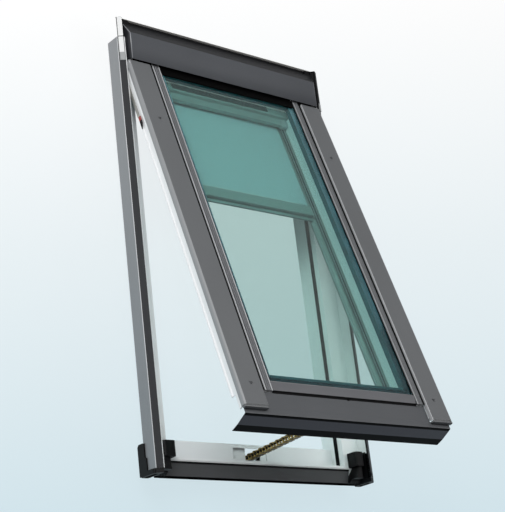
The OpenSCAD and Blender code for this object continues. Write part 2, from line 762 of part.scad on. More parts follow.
// Bottom cover: a flat face between the side covers and a skirt that laps over the sill
module bottom_cover() {
    t = sheet_t;
    end = sash_y0 + end_l - 0.5;
    brow = sash_y0 - 10;
    fold = [sash_y0 - 19.7, top_z - 54];
    tip = [sash_y0 - 22.7, top_z - skirt_h];
    hem = 5;
    color(dark_grey) opened_sash() {
        along_x(-skirt_x, skirt_x) polygon([
            [end, face_z], [brow, face_z], fold, tip, [tip[0] + hem, tip[1]], [tip[0] + hem, tip[1] + t],
            [tip[0] + t + 0.2, tip[1] + t], [fold[0] + t, fold[1] - 0.2], [brow + t, face_z - t],
            [end, face_z - t]]);
        box([-cover_in, end - 0.5, face_z - t], [cover_in, face_end, face_z]);
    }
}
module top_cover() {
    edge = lip_top + 2;
    low = unit_top + touch;
    high = low + 5;
    bed = tail_z + touch;
    half = bead_x - touch;
    color(black) opened_sash() difference() {
        union() {
            along_x(-half, half) polygon([
                [edge, low], [edge, low + 2.5], [edge + 4, high], [unit_y1 + 2, high], [unit_y1 + 2, bed],
                [unit_y1, bed], [unit_y1, low]]);
            box([-half, unit_y1 + 1, bed], [half, sash_end - 1, high]);
            box([-tail_x + 1, stile_end + 0.5, bed], [tail_x - 1, sash_end - 1, high]);
        }
        // Room for the ends of the beads
        both_sides() box([-bead_x - bead_w - touch, stile_end, low - over],
                         [-bead_x + touch, bead_y1 + touch, high + over]);
    }
}

// Glazing: ridged beads, two panes and the spacer between them
module glazing_bead() {
    low = unit_top + touch;
    gutter = 1.2;
    color(metal) opened_sash() along_y(bead_y0, bead_y1) translate([-bead_x, low]) mirror([1, 0]) polygon([
        [0, 0], [0, 2], [3, 3.6], [7, 3.6], [8, 2], [20, 2.8], [21, 5], [26, 5], [27, gutter],
        [bead_w, gutter], [bead_w, 0]]);
}
module glazing_bead_left() { glazing_bead(); }
module glazing_bead_right() { right_hand() glazing_bead(); }
module bottom_bead() {
    step = unit_top - face_z;
    half = bead_x - touch;
    high = 6.3;
    crest = [bottom_bead_h - 8, bottom_bead_h - 4];
    color("gray") opened_sash() along_x(-half, half) translate([bead_y0, face_z + touch]) polygon([
        [0, 0], [3, 4.3], [crest[0], high], [crest[1], high], [bottom_bead_h, 3.8], [bottom_bead_h, step],
        [9, step], [9, 0]]);
}
module cover_screws() {
    place = (sash_x + cover_in) / 2 - 4;
    from_end = 72;
    from_hinge = 217;
    color("dimgray") opened_sash() both_sides() for (y = [sash_y0 + from_end, stile_end - from_hinge])
        translate([-place, y, top_z + 0.05]) screw_head(4.4, 2);
}
module outer_pane() {
    color(glass_tint) opened_sash()
        box([-unit_x, unit_y0, unit_top - pane_t], [unit_x, unit_y1 - touch, unit_top]);
}
module inner_pane() {
    color(glass_tint) opened_sash()
        box([-unit_x, unit_y0, unit_low], [unit_x, unit_y1 - touch, unit_low + pane_t]);
}
module spacer() {
    end_in = 36;
    color(black) opened_sash() difference() {
        box([-unit_x, unit_y0, unit_low + pane_t], [unit_x, unit_y1 - touch, unit_top - pane_t]);
        box([-unit_x + spacer_w, unit_y0 + end_in, unit_low], [unit_x - spacer_w, lip_top, unit_top]);
    }
}

// Blind under the glass
module blind_rail() {
    color(white) opened_sash() along_y(rail_y0, cassette_y0 - touch) mirror([1, 0]) difference() {
        translate([rail_x - rail_w, blind_z - rail_h]) square([rail_w, rail_h]);
        translate([rail_x - rail_w - over, slot_z - 3]) square([rail_w - 5, 6]);
        translate([rail_x - 8, slot_z - 5]) square([4, 10]);
    }
}
module blind_rail_left() { blind_rail(); }
module blind_rail_right() { right_hand() blind_rail(); }
module blind_cassette() {
    t = cassette_t;
    color(white) opened_sash() difference() {
        box([-rail_x, cassette_y0, blind_z - cassette_h], [rail_x, cassette_y1, blind_z]);
        box([-rail_x + 5, cassette_y0 + t, blind_z - cassette_h + t],
            [rail_x - 5, cassette_y1 - t, blind_z - t]);
        box([-bar_half - 1, cassette_y0 - over, slot_z - 2],
            [bar_half + 1, cassette_y0 + t + over, slot_z + 2]);
        translate([-rail_x - over, roller_y, roller_z]) rotate([0, 90, 0])
            cylinder(r = journal_r + run, h = 2 * rail_x + 2 * over);
    }
}
module solar_strip() {
    from_left_end = 55;
    from_right_end = 88;
    color("darkslategray") opened_sash()
        box([-bead_x + from_left_end, cassette_y0 + 3, blind_z + 0.1],
            [bead_x - from_right_end, lip_top - 3, blind_z + 2.2]);
}
module blind_roller() {
    journal_half = roller_half + journal_l;
    color("lightgray") opened_sash() translate([0, roller_y, roller_z]) rotate([0, 90, 0]) {
        translate([0, 0, -roller_half]) cylinder(r = roller_r - 0.3, h = 2 * roller_half);
        translate([0, 0, -journal_half]) cylinder(r = journal_r, h = 2 * journal_half);
    }
}
module blind_fabric() {
    color("cadetblue") opened_sash()
        box([-bar_half, bar_y0 + bar_h + touch, slot_z - fabric_t / 2],
            [bar_half, roller_y, slot_z + fabric_t / 2]);
}
module blind_bar() {
    color(white) opened_sash() along_x(-bar_half, bar_half) union() {
        round_box(bar_y0 + bar_lip - 2, slot_z - bar_t / 2, bar_y0 + bar_h, slot_z + bar_t / 2, 5);
        round_box(bar_y0, slot_z - bar_t / 2, bar_y0 + bar_lip, slot_z - bar_t / 2 + 5, 2);
    }
}
module blind_bar_caps() {
    cap_t = 2.6;
    color("lightgray") opened_sash() both_sides() {
        along_x(-bar_half - cap_t, -bar_half)
            round_box(bar_y0 + bar_lip - 2, slot_z - bar_t / 2, bar_y0 + bar_h, slot_z + bar_t / 2, 5);
        // Runner in the side rail
        box([-rail_x + 5.6, bar_y0 + bar_lip + 1, slot_z - 2.4],
            [-bar_half - 2, bar_y0 + bar_h - 4, slot_z + 2.4]);
    }
}

jamb_left();
jamb_right();
sill_rail();
head_rail();
jamb_cover_left();
jamb_cover_right();
sill_cover();
head_casing();
casing_end_left();
casing_end_right();
hood();
hood_clips();
corner_block_left();
corner_block_right();
frame_gasket();
frame_screws();
hinge_plate_left();
hinge_plate_right();
hinge_pins();
hinge_arm_left();
hinge_arm_right();
hinge_clips();
arm_ends();
actuator_casing();
actuator_motor();
drive_sprocket();
chain();
chain_bracket();
chain_end();
bracket_pin();
sash_stile_left();
sash_stile_right();
sash_top_rail();
sash_bottom_rail();
side_cover_left();
side_cover_right();
cover_end_left();
cover_end_right();
bottom_cover();
top_cover();
glazing_bead_left();
glazing_bead_right();
bottom_bead();
cover_screws();
outer_pane();
spacer();
inner_pane();
blind_cassette();
solar_strip();
blind_roller();
blind_fabric();
blind_bar();
blind_bar_caps();
blind_rail_left();
blind_rail_right();
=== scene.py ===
"""Roof skylight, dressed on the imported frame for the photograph's view.

Lengths are in metres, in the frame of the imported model: X across the width, Y up the roof slope and
Z out of the roof. Sash pieces are shaped in the closed sash and then turned to its open place.
"""

from __future__ import annotations

import json
import logging
import math
from dataclasses import dataclass, field
from enum import Enum
from typing import Any, Callable, Iterable, Sequence

import bmesh
import bpy
from mathutils import Matrix, Vector

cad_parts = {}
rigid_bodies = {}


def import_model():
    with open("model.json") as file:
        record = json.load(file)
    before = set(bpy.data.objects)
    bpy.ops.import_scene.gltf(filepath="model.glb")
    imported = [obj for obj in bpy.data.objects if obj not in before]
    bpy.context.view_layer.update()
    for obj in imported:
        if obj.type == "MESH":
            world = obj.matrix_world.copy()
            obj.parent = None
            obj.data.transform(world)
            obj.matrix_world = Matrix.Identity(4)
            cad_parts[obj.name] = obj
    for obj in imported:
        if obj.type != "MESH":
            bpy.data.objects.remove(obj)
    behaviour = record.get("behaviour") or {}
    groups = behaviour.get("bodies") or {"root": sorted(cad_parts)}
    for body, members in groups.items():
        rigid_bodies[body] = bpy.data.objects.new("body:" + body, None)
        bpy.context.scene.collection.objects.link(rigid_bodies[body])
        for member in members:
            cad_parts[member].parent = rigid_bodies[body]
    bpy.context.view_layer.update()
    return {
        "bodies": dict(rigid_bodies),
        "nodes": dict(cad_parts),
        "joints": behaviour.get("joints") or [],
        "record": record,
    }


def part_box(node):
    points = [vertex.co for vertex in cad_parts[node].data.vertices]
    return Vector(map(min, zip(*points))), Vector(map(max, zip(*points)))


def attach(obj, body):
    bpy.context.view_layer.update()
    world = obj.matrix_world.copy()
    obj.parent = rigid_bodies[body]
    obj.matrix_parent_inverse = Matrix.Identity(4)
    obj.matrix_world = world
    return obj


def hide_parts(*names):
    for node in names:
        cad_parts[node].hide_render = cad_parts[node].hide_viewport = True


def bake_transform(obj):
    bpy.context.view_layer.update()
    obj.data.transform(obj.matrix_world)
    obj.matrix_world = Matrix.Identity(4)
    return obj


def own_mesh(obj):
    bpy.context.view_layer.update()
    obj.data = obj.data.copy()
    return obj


LOG = logging.getLogger("skylight")
MM = 0.001
SAME_PLACE = 1e-6
NO_LENGTH = 1e-9
FLAT = math.radians(1)
SHARP = math.radians(32)
MITRE_LIMIT = 0.3
RIDGE_SHARE = 0.35
Point = tuple[float, float]
Sizes = tuple[float, ...]
Spans = tuple[Sizes, ...]
Shape = bmesh.types.BMesh
Piece = bpy.types.Object
Face = bpy.types.MeshPolygon
Number = "float | Value"


def mm(*sizes: float) -> Sizes:
    """Lengths that are written in millimetres."""
    return tuple(size * MM for size in sizes)


def off(base: float, span: Sizes) -> Sizes:
    """A span that is measured from a base."""
    return tuple(base + step for step in span)


class Body(Enum):
    """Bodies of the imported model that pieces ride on."""

    FRAME = "frame"
    SASH = "sash"
    BAR = "blind_bar"


class Side(Enum):
    """The two sides of the window, with the sign of their X."""

    LEFT = -1
    RIGHT = 1

    @property
    def word(self) -> str:
        """The side's name as the nodes spell it."""
        return self.name.lower()

    def pick(self, left: Any, right: Any) -> Any:
        """The one of two things that belongs to this side."""
        return left if self is Side.LEFT else right

    def span(self, reach: Sizes) -> Sizes:
        """X at distances from the middle, on this side."""
        return tuple(self.value * x for x in reach)


class Value:
    """One output socket in a material's node tree, with arithmetic."""

    def __init__(self, graph: "Graph", socket: bpy.types.NodeSocket) -> None:
        """Keeps the socket with the graph that it belongs to."""
        self.graph = graph
        self.socket = socket

    def _math(self, operation: str, first: Number, second: Number) -> "Value":
        """Adds one Math node."""
        return self.graph.node("ShaderNodeMath", {"operation": operation}, {0: first, 1: second})

    def __add__(self, other: Number) -> "Value":
        """Sum."""
        return self._math("ADD", self, other)

    __radd__ = __add__

    def __sub__(self, other: Number) -> "Value":
        """Difference."""
        return self._math("SUBTRACT", self, other)

    def __rsub__(self, other: Number) -> "Value":
        """Difference from a number."""
        return self._math("SUBTRACT", other, self)

    def __mul__(self, other: Number) -> "Value":
        """Product."""
        return self._math("MULTIPLY", self, other)

    __rmul__ = __mul__

    def __gt__(self, other: Number) -> "Value":
        """One where this is greater, else zero."""
        return self._math("GREATER_THAN", self, other)

    def output(self, name: str) -> "Value":
        """Another output of the same node."""
        return Value(self.graph, self.socket.node.outputs[name])


class Graph:
    """The node tree of one material."""

    def __init__(self, name: str) -> None:
        """Makes an empty material with an output node.

        Args:
            name: The material's name.
        """
        self.material = bpy.data.materials.new(name)
        self.material.use_nodes = True
        self.tree = self.material.node_tree
        self.tree.nodes.clear()
        self.end = self.tree.nodes.new("ShaderNodeOutputMaterial")

    def node(
        self,
        kind: str,
        settings: dict[str, Any] | None = None,
        inputs: dict[int | str, Any] | None = None,
        output: int | str = 0,
    ) -> Value:
        """Adds a node.

        Args:
            kind: The node's type name.
            settings: Attributes of the node, and "stops" for a ramp's places and colours.
            inputs: Numbers, colours or values for its sockets.
            output: The output that is handed back.

        Returns:
            The chosen output.
        """
        made = self.tree.nodes.new(kind)
        for key, value in (settings or {}).items():
            if key == "stops":
                self._set_stops(made.color_ramp, value)
            else:
                setattr(made, key, value)
        for key, value in (inputs or {}).items():
            if isinstance(value, Value):
                self.tree.links.new(value.socket, made.inputs[key])
            else:
                made.inputs[key].default_value = value
        return Value(self, made.outputs[output])

    @staticmethod
    def _set_stops(ramp: bpy.types.ColorRamp, stops: Sequence[tuple[float, Sequence[float]]]) -> None:
        """Gives a ramp its places and colours.

        Args:
            ramp: The ramp.
            stops: Places from 0 to 1, each with its colour.
        """
        while len(ramp.elements) < len(stops):
            ramp.elements.new(1.0)
        for element, (place, colour) in zip(ramp.elements, stops):
            element.position = place
            element.color = colour

    def place(self) -> Value:
        """Position on the piece, in metres."""
        return self.node("ShaderNodeTexCoord", output="Object")

    def noise(self, scale: float, detail: float, stretch: Sequence[float] = (1, 1, 1)) -> Value:
        """Cloudy noise from 0 to 1.

        Args:
            scale: Features for each metre.
            detail: Octaves.
            stretch: Scale of the position along each axis.

        Returns:
            The noise.
        """
        mapped = self.node("ShaderNodeMapping", None, {"Vector": self.place(), "Scale": stretch})
        values = {"Vector": mapped, "Scale": scale, "Detail": detail}
        return self.node("ShaderNodeTexNoise", None, values, "Fac")

    def mix(self, factor: Number, first: Any, second: Any) -> Value:
        """Colour between two others."""
        return self.node("ShaderNodeMix", {"data_type": "RGBA"}, {0: factor, 6: first, 7: second}, 2)

    def bump(self, height: Value, depth: float, strength: float) -> Value:
        """Normal from a height map.

        Args:
            height: Height from 0 to 1.
            depth: Depth of the relief in metres.
            strength: Share of the effect.

        Returns:
            The normal.
        """
        values = {"Strength": strength, "Distance": depth, "Height": height}
        return self.node("ShaderNodeBump", None, values)

    def principled(self, **inputs: Any) -> Value:
        """Adds the main shader; words in a socket's name are joined by an underscore."""
        named = {key.replace("_", " "): value for key, value in inputs.items()}
        return self.node("ShaderNodeBsdfPrincipled", None, named)

    def finish(self, shader: Value) -> bpy.types.Material:
        """Links the shader to the output and hands the material back."""
        self.tree.links.new(shader.socket, self.end.inputs["Surface"])
        return self.material


def linear(code: str) -> tuple[float, float, float, float]:
    """Turns a written colour into the renderer's linear one.

    Args:
        code: Six hexadecimal digits.

    Returns:
        Red, green, blue and full opacity.
    """
    parts = [int(code[i : i + 2], 16) / 255 for i in (0, 2, 4)]
    red, green, blue = (c / 12.92 if c <= 0.04045 else ((c + 0.055) / 1.055) ** 2.4 for c in parts)
    return red, green, blue, 1.0


def shade(colour: Sequence[float], factor: float) -> tuple[float, float, float, float]:
    """A lighter or darker tone of a colour."""
    red, green, blue = (min(1.0, c * factor) for c in colour[:3])
    return red, green, blue, 1.0


@dataclass(frozen=True)
class Finish:
    """A surface finish: its name, the record's slot and its written colour."""

    name: str
    slot: str
    colour: str

    def build(self, graph: Graph) -> Value:
        """Makes the shader; each kind of finish has its own."""
        raise NotImplementedError

    def material(self) -> bpy.types.Material:
        """The finish as a material, made once.

        Returns:
            The material.
        """
        found = bpy.data.materials.get(self.name)
        if found:
            return found
        graph = Graph(self.name)
        return graph.finish(self.build(graph))


@dataclass(frozen=True)
class Lacquer(Finish):
    """Satin paint on sheet metal, with orange peel and a breath of dust."""

    roughness: float = 0.40
    dust: float = 0.12
    gloss: float = 0.5

    def build(self, graph: Graph) -> Value:
        """Paint over metal: cloudy tone, dust in soft streaks, fine peel.

        Args:
            graph: The material's node tree.

        Returns:
            The shader.
        """
        base = linear(self.colour)
        cloud = graph.noise(5.0, 4.0, (1.0, 0.35, 1.0))
        speck = graph.noise(340.0, 2.0)
        peel = graph.noise(620.0, 1.0)
        tone = graph.mix(cloud, shade(base, 1 - self.dust), shade(base, 1 + self.dust))
        dusty = graph.mix((speck > 0.68) * 0.10, tone, shade(base, 2.2))
        return graph.principled(
            Base_Color=dusty,
            Roughness=cloud * 0.16 + (self.roughness - 0.08),
            Specular_IOR_Level=self.gloss,
            Normal=graph.bump(peel, 0.00006, 0.5),
        )


@dataclass(frozen=True)
class Profile(Finish):
    """White lacquer on a moulded profile, slightly uneven and faintly soiled."""

    roughness: float = 0.42

    def build(self, graph: Graph) -> Value:
        """White with a cool cloud and drawn lines along the profile.

        Args:
            graph: The material's node tree.

        Returns:
            The shader.
        """
        base = linear(self.colour)
        cloud = graph.noise(7.0, 5.0)
        drawn = graph.noise(260.0, 2.0, (1.0, 0.02, 1.0))
        tone = graph.mix(cloud, shade(base, 0.93), base)
        return graph.principled(
            Base_Color=tone,
            Roughness=cloud * 0.14 + (self.roughness - 0.07),
            Normal=graph.bump(drawn, 0.00008, 0.4),
        )


@dataclass(frozen=True)
class Moulding(Finish):
    """Moulded plastic with a fine spark-eroded grain."""

    roughness: float = 0.52
    grain: float = 900.0
    gloss: float = 0.5

    def build(self, graph: Graph) -> Value:
        """Plain plastic with grain, rubbed a little paler in patches.

        Args:
            graph: The material's node tree.

        Returns:
            The shader.
        """
        base = linear(self.colour)
        cloud = graph.noise(22.0, 4.0)
        grain = graph.noise(self.grain, 2.0)
        tone = graph.mix(cloud, shade(base, 0.8), shade(base, 1.35))
        return graph.principled(
            Base_Color=tone,
            Roughness=grain * 0.2 + (self.roughness - 0.1),
            Specular_IOR_Level=self.gloss,
            Normal=graph.bump(grain, 0.00012, 0.5),
        )


@dataclass(frozen=True)
class Metal(Finish):
    """Bare or plated metal with drawing lines and stains."""

    roughness: float = 0.34
    lines: tuple[float, float, float] = (1.0, 0.03, 1.0)

    def build(self, graph: Graph) -> Value:
        """Metal with a cloudy plating and fine lines.

        Args:
            graph: The material's node tree.

        Returns:
            The shader.
        """
        base = linear(self.colour)
        cloud = graph.noise(60.0, 4.0)
        lines = graph.noise(700.0, 2.0, self.lines)
        tone = graph.mix(cloud, shade(base, 0.72), shade(base, 1.1))
        return graph.principled(
            Base_Color=tone,
            Metallic=1.0,
            Roughness=lines * 0.22 + (self.roughness - 0.11),
            Normal=graph.bump(lines, 0.00005, 0.5),
        )


@dataclass(frozen=True)
class Pane(Finish):
    """Clear glass with a green tint that lets lamp light through."""

    def build(self, graph: Graph) -> Value:
        """Glass for the eye, a tinted film for rays from the lamps.

        Args:
            graph: The material's node tree.

        Returns:
            The shader.
        """
        tint = linear(self.colour)
        smear = graph.noise(9.0, 3.0)
        glass = graph.principled(
            Base_Color=tint, Roughness=smear * 0.03, IOR=1.45, Transmission_Weight=1.0
        )
        film = graph.node("ShaderNodeBsdfTransparent", None, {"Color": linear("f2f6f5")})
        shadow = graph.node("ShaderNodeLightPath", output="Is Shadow Ray")
        return graph.node("ShaderNodeMixShader", None, {0: shadow, 1: glass, 2: film})


@dataclass(frozen=True)
class Cloth(Finish):
    """Plain-woven blind cloth."""

    thread: float = 0.0006

    def build(self, graph: Graph) -> Value:
        """A plain weave of two crossing thread waves.

        Args:
            graph: The material's node tree.

        Returns:
            The shader.
        """
        base = linear(self.colour)
        count = 1 / self.thread
        waves = []
        for axis in ("X", "Y"):
            settings = {"wave_type": "BANDS", "bands_direction": axis}
            values = {"Vector": graph.place(), "Scale": count / 20, "Distortion": 0.3}
            waves.append(graph.node("ShaderNodeTexWave", settings, values, "Fac"))
        weave = waves[0] * waves[1]
        slub = graph.noise(90.0, 3.0, (1.0, 0.1, 1.0))
        tone = graph.mix(weave * 0.5 + slub * 0.5, shade(base, 0.82), shade(base, 1.1))
        return graph.principled(
            Base_Color=tone, Roughness=0.85, Sheen_Weight=0.25, Normal=graph.bump(weave, 0.00015, 0.6)
        )


@dataclass(frozen=True)
class Cell(Finish):
    """Dark photovoltaic strip with fine conductor lines."""

    def build(self, graph: Graph) -> Value:
        """Fine pale lines across a dark glossy face.

        Args:
            graph: The material's node tree.

        Returns:
            The shader.
        """
        base = linear(self.colour)
        settings = {"wave_type": "BANDS", "bands_direction": "X"}
        lines = graph.node("ShaderNodeTexWave", settings, {"Vector": graph.place(), "Scale": 70.0}, "Fac")
        cloud = graph.noise(30.0, 3.0)
        dark = graph.mix(cloud, base, shade(base, 1.8))
        tone = graph.mix((lines > 0.82) * 0.45, dark, linear("8fa5a4"))
        return graph.principled(Base_Color=tone, Roughness=0.18, Coat_Weight=0.4)


WHITE = Profile("white lacquer", "white_profile", "eceeef")
WHITE_TRIM = Profile("white trim", "white_trim", "dcdddd", 0.34)
DRIVE_WHITE = Profile("drive casing", "drive_plastic", "ecedef", 0.38)
BLIND_WHITE = Profile("blind aluminium", "blind_white", "71908f", 0.36)
BLIND_DARK = Profile("blind bar front", "blind_white", "4f6668", 0.4)
REVEAL = Profile("sash reveal", "white_profile", "c4dcde")
# Side wall and front strip are one cladding paint, painted lighter and darker for how the light falls on
# them; the fold and hem tones are painted highlights.
SIDE_GREY_LIT = Lacquer("side cladding", "side_cladding", "808386")
STRIP_GREY_SHADED = Lacquer("front strip", "side_cladding", "28292c", 0.5, gloss=0.2)
STRIP_FOLD_HIGHLIGHT = Lacquer("strip fold", "side_cladding", "c2c5c7", 0.3)
STRIP_HEM_HIGHLIGHT = Lacquer("strip hem", "side_cladding", "8d9093")
SILL_GREY = Lacquer("sill cladding", "sill_cladding", "48494b", 0.5, gloss=0.3)
# Near-black: painted shade on the sill sheet's down-facing faces, and the black corner foot.
DRIP_BLACK_AND_SHADE = Lacquer("sill drip edge", "sill_cladding", "060607", 0.4, gloss=0.0)
# Dark end pieces and dark joints, also used as painted shade: the head casing's deck, the right casing end
# and the right jamb hem.
END_DARK_AND_SHADE = Lacquer("dark end strip", "sill_cladding", "0e0e10", 0.5, gloss=0.12)
HEAD_GREY = Lacquer("head casing", "head_metal", "8a8884")
# Painted highlight on the head casing's lip, whose faces turn away from the lamps.
HEAD_LIP_HIGHLIGHT = Lacquer("head lip", "head_metal", "d2d1ce", 0.3)
HOOD_GREY = Lacquer("hood paint", "hood_paint", "4c4e52", 0.5, gloss=0.15)
# Painted highlight on the folds beside the cheeks; painted shade on the band that slopes back.
HOOD_FOLD_HIGHLIGHT = Lacquer("hood fold", "hood_paint", "7d7f83", 0.3)
HOOD_BAND_SHADE = Lacquer("hood band", "hood_paint", "1f2023", 0.5, gloss=0.15)
HOOD_CHEEK = Lacquer("hood cheek", "hood_paint", "2a2b2f", 0.32)
COVER_GREY = Lacquer("cover paint", "cover_paint", "5e6062")
# Painted highlights on the side covers' outer edges and on their lips beside the beads.
COVER_EDGE_HIGHLIGHT = Lacquer("cover edge", "cover_paint", "8a8c8e")
COVER_LIP_HIGHLIGHT = Lacquer("cover lip", "cover_paint", "acaeb0", 0.3)
# Painted shade on the front end faces of the side covers.
COVER_END_SHADE = Lacquer("cover end", "cover_paint", "303134", gloss=0.3)
FACE_GREY = Lacquer("bottom face", "skirt_paint", "4e5053", gloss=0.4)
# One skirt paint, painted darker on the upper facet and near-black on the lower facet, the brow line and
# the undersides, as shade.
SKIRT_GREY_SHADED = Lacquer("skirt paint", "skirt_paint", "42434a", gloss=0.12)
SKIRT_SHADE = Lacquer("skirt underside", "skirt_paint", "050506", 0.5, gloss=0.03)
CLIP_GREY = Moulding("grey clip", "grey_clip", "8b8d8e", 0.45)
BLACK = Moulding("black moulding", "black_plastic", "0b0b0d", gloss=0.18)
BLACK_TRIM = Moulding("black trim", "black_trim", "030303", 0.6, gloss=0.06)
# Black rubber for the seals, also used as painted shade: the bottom bead's front face, the strip in front
# of it and the bead gutters.
RUBBER_AND_SHADE = Moulding("seal rubber", "seal_rubber", "070708", 0.6, 1500.0, 0.12)
# Spacer top face painted a lighter teal than the dark spacer, painted light that offsets the shade of bead
# and cover; the sides keep the darker tone.
SPACER = Moulding("edge spacer", "spacer_black", "4c7a86", 0.4)
SPACER_SIDE = Moulding("spacer side", "spacer_black", "18464c", 0.5, gloss=0.1)
SPACER_DARK = Moulding("spacer inside", "spacer_black", "1d3136", 0.5, gloss=0.1)
RED = Moulding("red clip", "red_clip", "8e2c26", 0.4)
CAP_GREY = Moulding("blind cap", "blind_cap", "84a0a2", 0.3)
ZINC = Metal("zinc plate", "steel", "b9b8b2")
MOTOR = Metal("motor metal", "motor_metal", "55565a", 0.5)
BRASSY = Metal("chain plating", "chain_metal", "c8ae6e", 0.42)
CHAIN_STEEL = Metal("chain steel", "chain_metal", "76746e", 0.46)
CHAIN_DARK = Moulding("chain grease", "chain_metal", "050504", 0.6, gloss=0.1)
BEAD = Lacquer("bead aluminium", "bead_metal", "67696b", 0.34)
# Painted highlight on the bead ridges.
BEAD_RIDGE_HIGHLIGHT = Lacquer("bead ridge", "bead_metal", "a9abad", 0.3)
BEAD_LOW = Lacquer("bottom bead", "bead_metal", "5c5d60", 0.36)
KNURL = Lacquer("knurled strip", "bead_metal", "85878a", 0.36)
SCREW = Metal("screw steel", "dark_screw", "8a8c8e", 0.36)
SCREW_DARK = Metal("dark screw steel", "dark_screw", "3c3d40", 0.5)
TUBE = Metal("roller tube", "roller_metal", "b5b7b9")
GLASS = Pane("tinted glass", "glass", "dfedea")
CLOTH = Cloth("blind cloth", "blind_cloth", "90bac0")
SOLAR = Cell("solar strip", "solar_cell", "1a2629")


@dataclass
class Opening:
    """How the sash stands open: its hinge line and angle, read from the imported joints."""

    hinge: Vector
    angle: float

    @classmethod
    def read(cls, joints: Iterable[dict[str, Any]]) -> "Opening":
        """Finds the sash's hinge among the joints."""
        joint = next(j for j in joints if j["name"] == "sash_hinge")
        return cls(Vector(joint["pos_m"]), -math.radians(joint["range_deg"][0]))

    @property
    def matrix(self) -> Matrix:
        """From the closed sash to its open place."""
        turn = Matrix.Rotation(-self.angle, 4, "X")
        return Matrix.Translation(self.hinge) @ turn @ Matrix.Translation(-self.hinge)

    @property
    def ahead(self) -> Vector:
        """Direction down the open sash, towards its lower end."""
        return self.matrix.to_3x3() @ Vector((0, -1, 0))


@dataclass
class Maker:
    """Makes the meshes and hands them to the frame."""

    frame: dict[str, Any]
    opening: Opening

    def node(self, name: str) -> Piece:
        """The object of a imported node."""
        return self.frame["nodes"][name]

    def closed_box(self, name: str) -> tuple[Vector, Vector]:
        """Lowest and highest corner of a sash node while the sash is closed.

        Args:
            name: The node.

        Returns:
            The two corners.
        """
        back = self.opening.matrix.inverted()
        points = [back @ v.co for v in self.node(name).data.vertices]
        low = Vector(min(p[i] for p in points) for i in range(3))
        high = Vector(max(p[i] for p in points) for i in range(3))
        return low, high

    def shut(self, change: Callable[[Vector], Vector]) -> Callable[[Vector], Vector]:
        """Turns a change of places in the closed sash into one in the open sash.

        Args:
            change: The change in the closed sash.

        Returns:
            The change in the open sash.
        """
        turn = self.opening.matrix
        back = turn.inverted()
        return lambda place: turn @ change(back @ place)

    def add(
        self,
        name: str,
        shape: Shape,
        finish: Finish,
        body: Body,
        stands_for: Sequence[str] = (),
        turned: bool = False,
    ) -> Piece:
        """Turns a shape into a piece of the object.

        Args:
            name: The piece's name.
            shape: The mesh under construction, freed here.
            finish: Its surface finish.
            body: The body that it rides on.
            stands_for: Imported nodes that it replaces.
            turned: True for a shape drawn in the closed sash.

        Returns:
            The new object.
        """
        mesh = bpy.data.meshes.new(name)
        bmesh.ops.recalc_face_normals(shape, faces=shape.faces)
        for face in shape.faces:
            face.smooth = True
        shape.to_mesh(mesh)
        shape.free()
        if turned:
            mesh.transform(self.opening.matrix)
        piece = bpy.data.objects.new(name, mesh)
        bpy.context.scene.collection.objects.link(piece)
        mesh.materials.append(finish.material())
        weighted = piece.modifiers.new("weighted normals", "WEIGHTED_NORMAL")
        weighted.keep_sharp = True
        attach(piece, body.value)
        if stands_for:
            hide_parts(*stands_for)
        LOG.info("%s: %d faces on %s", name, len(mesh.polygons), body.value)
        return piece

    def hang(self, name: str, shape: Shape, finish: Finish, stands_for: Sequence[str] = ()) -> Piece:
        """Adds a piece of the sash that is drawn in the closed sash."""
        return self.add(name, shape, finish, Body.SASH, stands_for, turned=True)

    def dress(self, name: str, finish: Finish) -> None:
        """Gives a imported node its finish.

        Args:
            name: The node.
            finish: Its surface finish.
        """
        node = self.node(name)
        node.data.materials.clear()
        node.data.materials.append(finish.material())

    @staticmethod
    def paint(
        piece: Piece, finishes: Sequence[Finish], choose: Callable[[Face], int]
    ) -> None:
        """Gives some faces of a piece other finishes.

        Args:
            piece: The piece, with its main finish in place.
            finishes: The further finishes.
            choose: Number of a face's finish, where 0 is the main one.
        """
        for finish in finishes:
            piece.data.materials.append(finish.material())
        for face in piece.data.polygons:
            face.material_index = choose(face)

    def joint(self, piece: Piece, y: float, width: float, finish: Finish) -> None:
        """Draws a line across a piece.

        Args:
            piece: The piece.
            y: Where the line crosses it.
            width: Width of the line.
            finish: Finish of the line.
        """
        shape = bmesh.new()
        shape.from_mesh(piece.data)
        for edge in (y - width / 2, y + width / 2):
            geometry = shape.verts[:] + shape.edges[:] + shape.faces[:]
            bmesh.ops.bisect_plane(shape, geom=geometry, plane_co=(0, edge, 0), plane_no=(0, 1, 0))
        shape.to_mesh(piece.data)
        shape.free()
        self.paint(piece, (finish,), lambda face: int(abs(face.center.y - y) < width / 2))

    def soften(
        self,
        name: str,
        finish: Finish,
        body: Body,
        edge: float,
        steps: int = 2,
        move: Callable[[Vector], Vector] | None = None,
    ) -> Piece:
        """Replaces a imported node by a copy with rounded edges.

        Args:
            name: The node.
            finish: Its surface finish.
            body: The body that it belongs to.
            edge: Radius of the edges.
            steps: Segments across an edge.
            move: New place of each corner of the copy.

        Returns:
            The rounded copy.
        """
        shape = bmesh.new()
        shape.from_mesh(self.node(name).data)
        bmesh.ops.remove_doubles(shape, verts=shape.verts, dist=SAME_PLACE)
        bmesh.ops.dissolve_limit(shape, angle_limit=FLAT, verts=shape.verts, edges=shape.edges)
        for vertex in shape.verts if move else ():
            vertex.co = move(vertex.co)
        sharp = [e for e in shape.edges if e.is_manifold and e.calc_face_angle(0) > SHARP]
        round_edges(shape, sharp, edge, steps)
        return self.add(name + ".soft", shape, finish, body, [name])


def round_edges(shape: Shape, edges: Sequence[bmesh.types.BMEdge], radius: float, steps: int) -> None:
    """Rounds some edges of a shape."""
    settings = {"offset": radius, "segments": steps, "profile": 0.5, "clamp_overlap": True}
    bmesh.ops.bevel(shape, geom=edges, affect="EDGES", **settings)


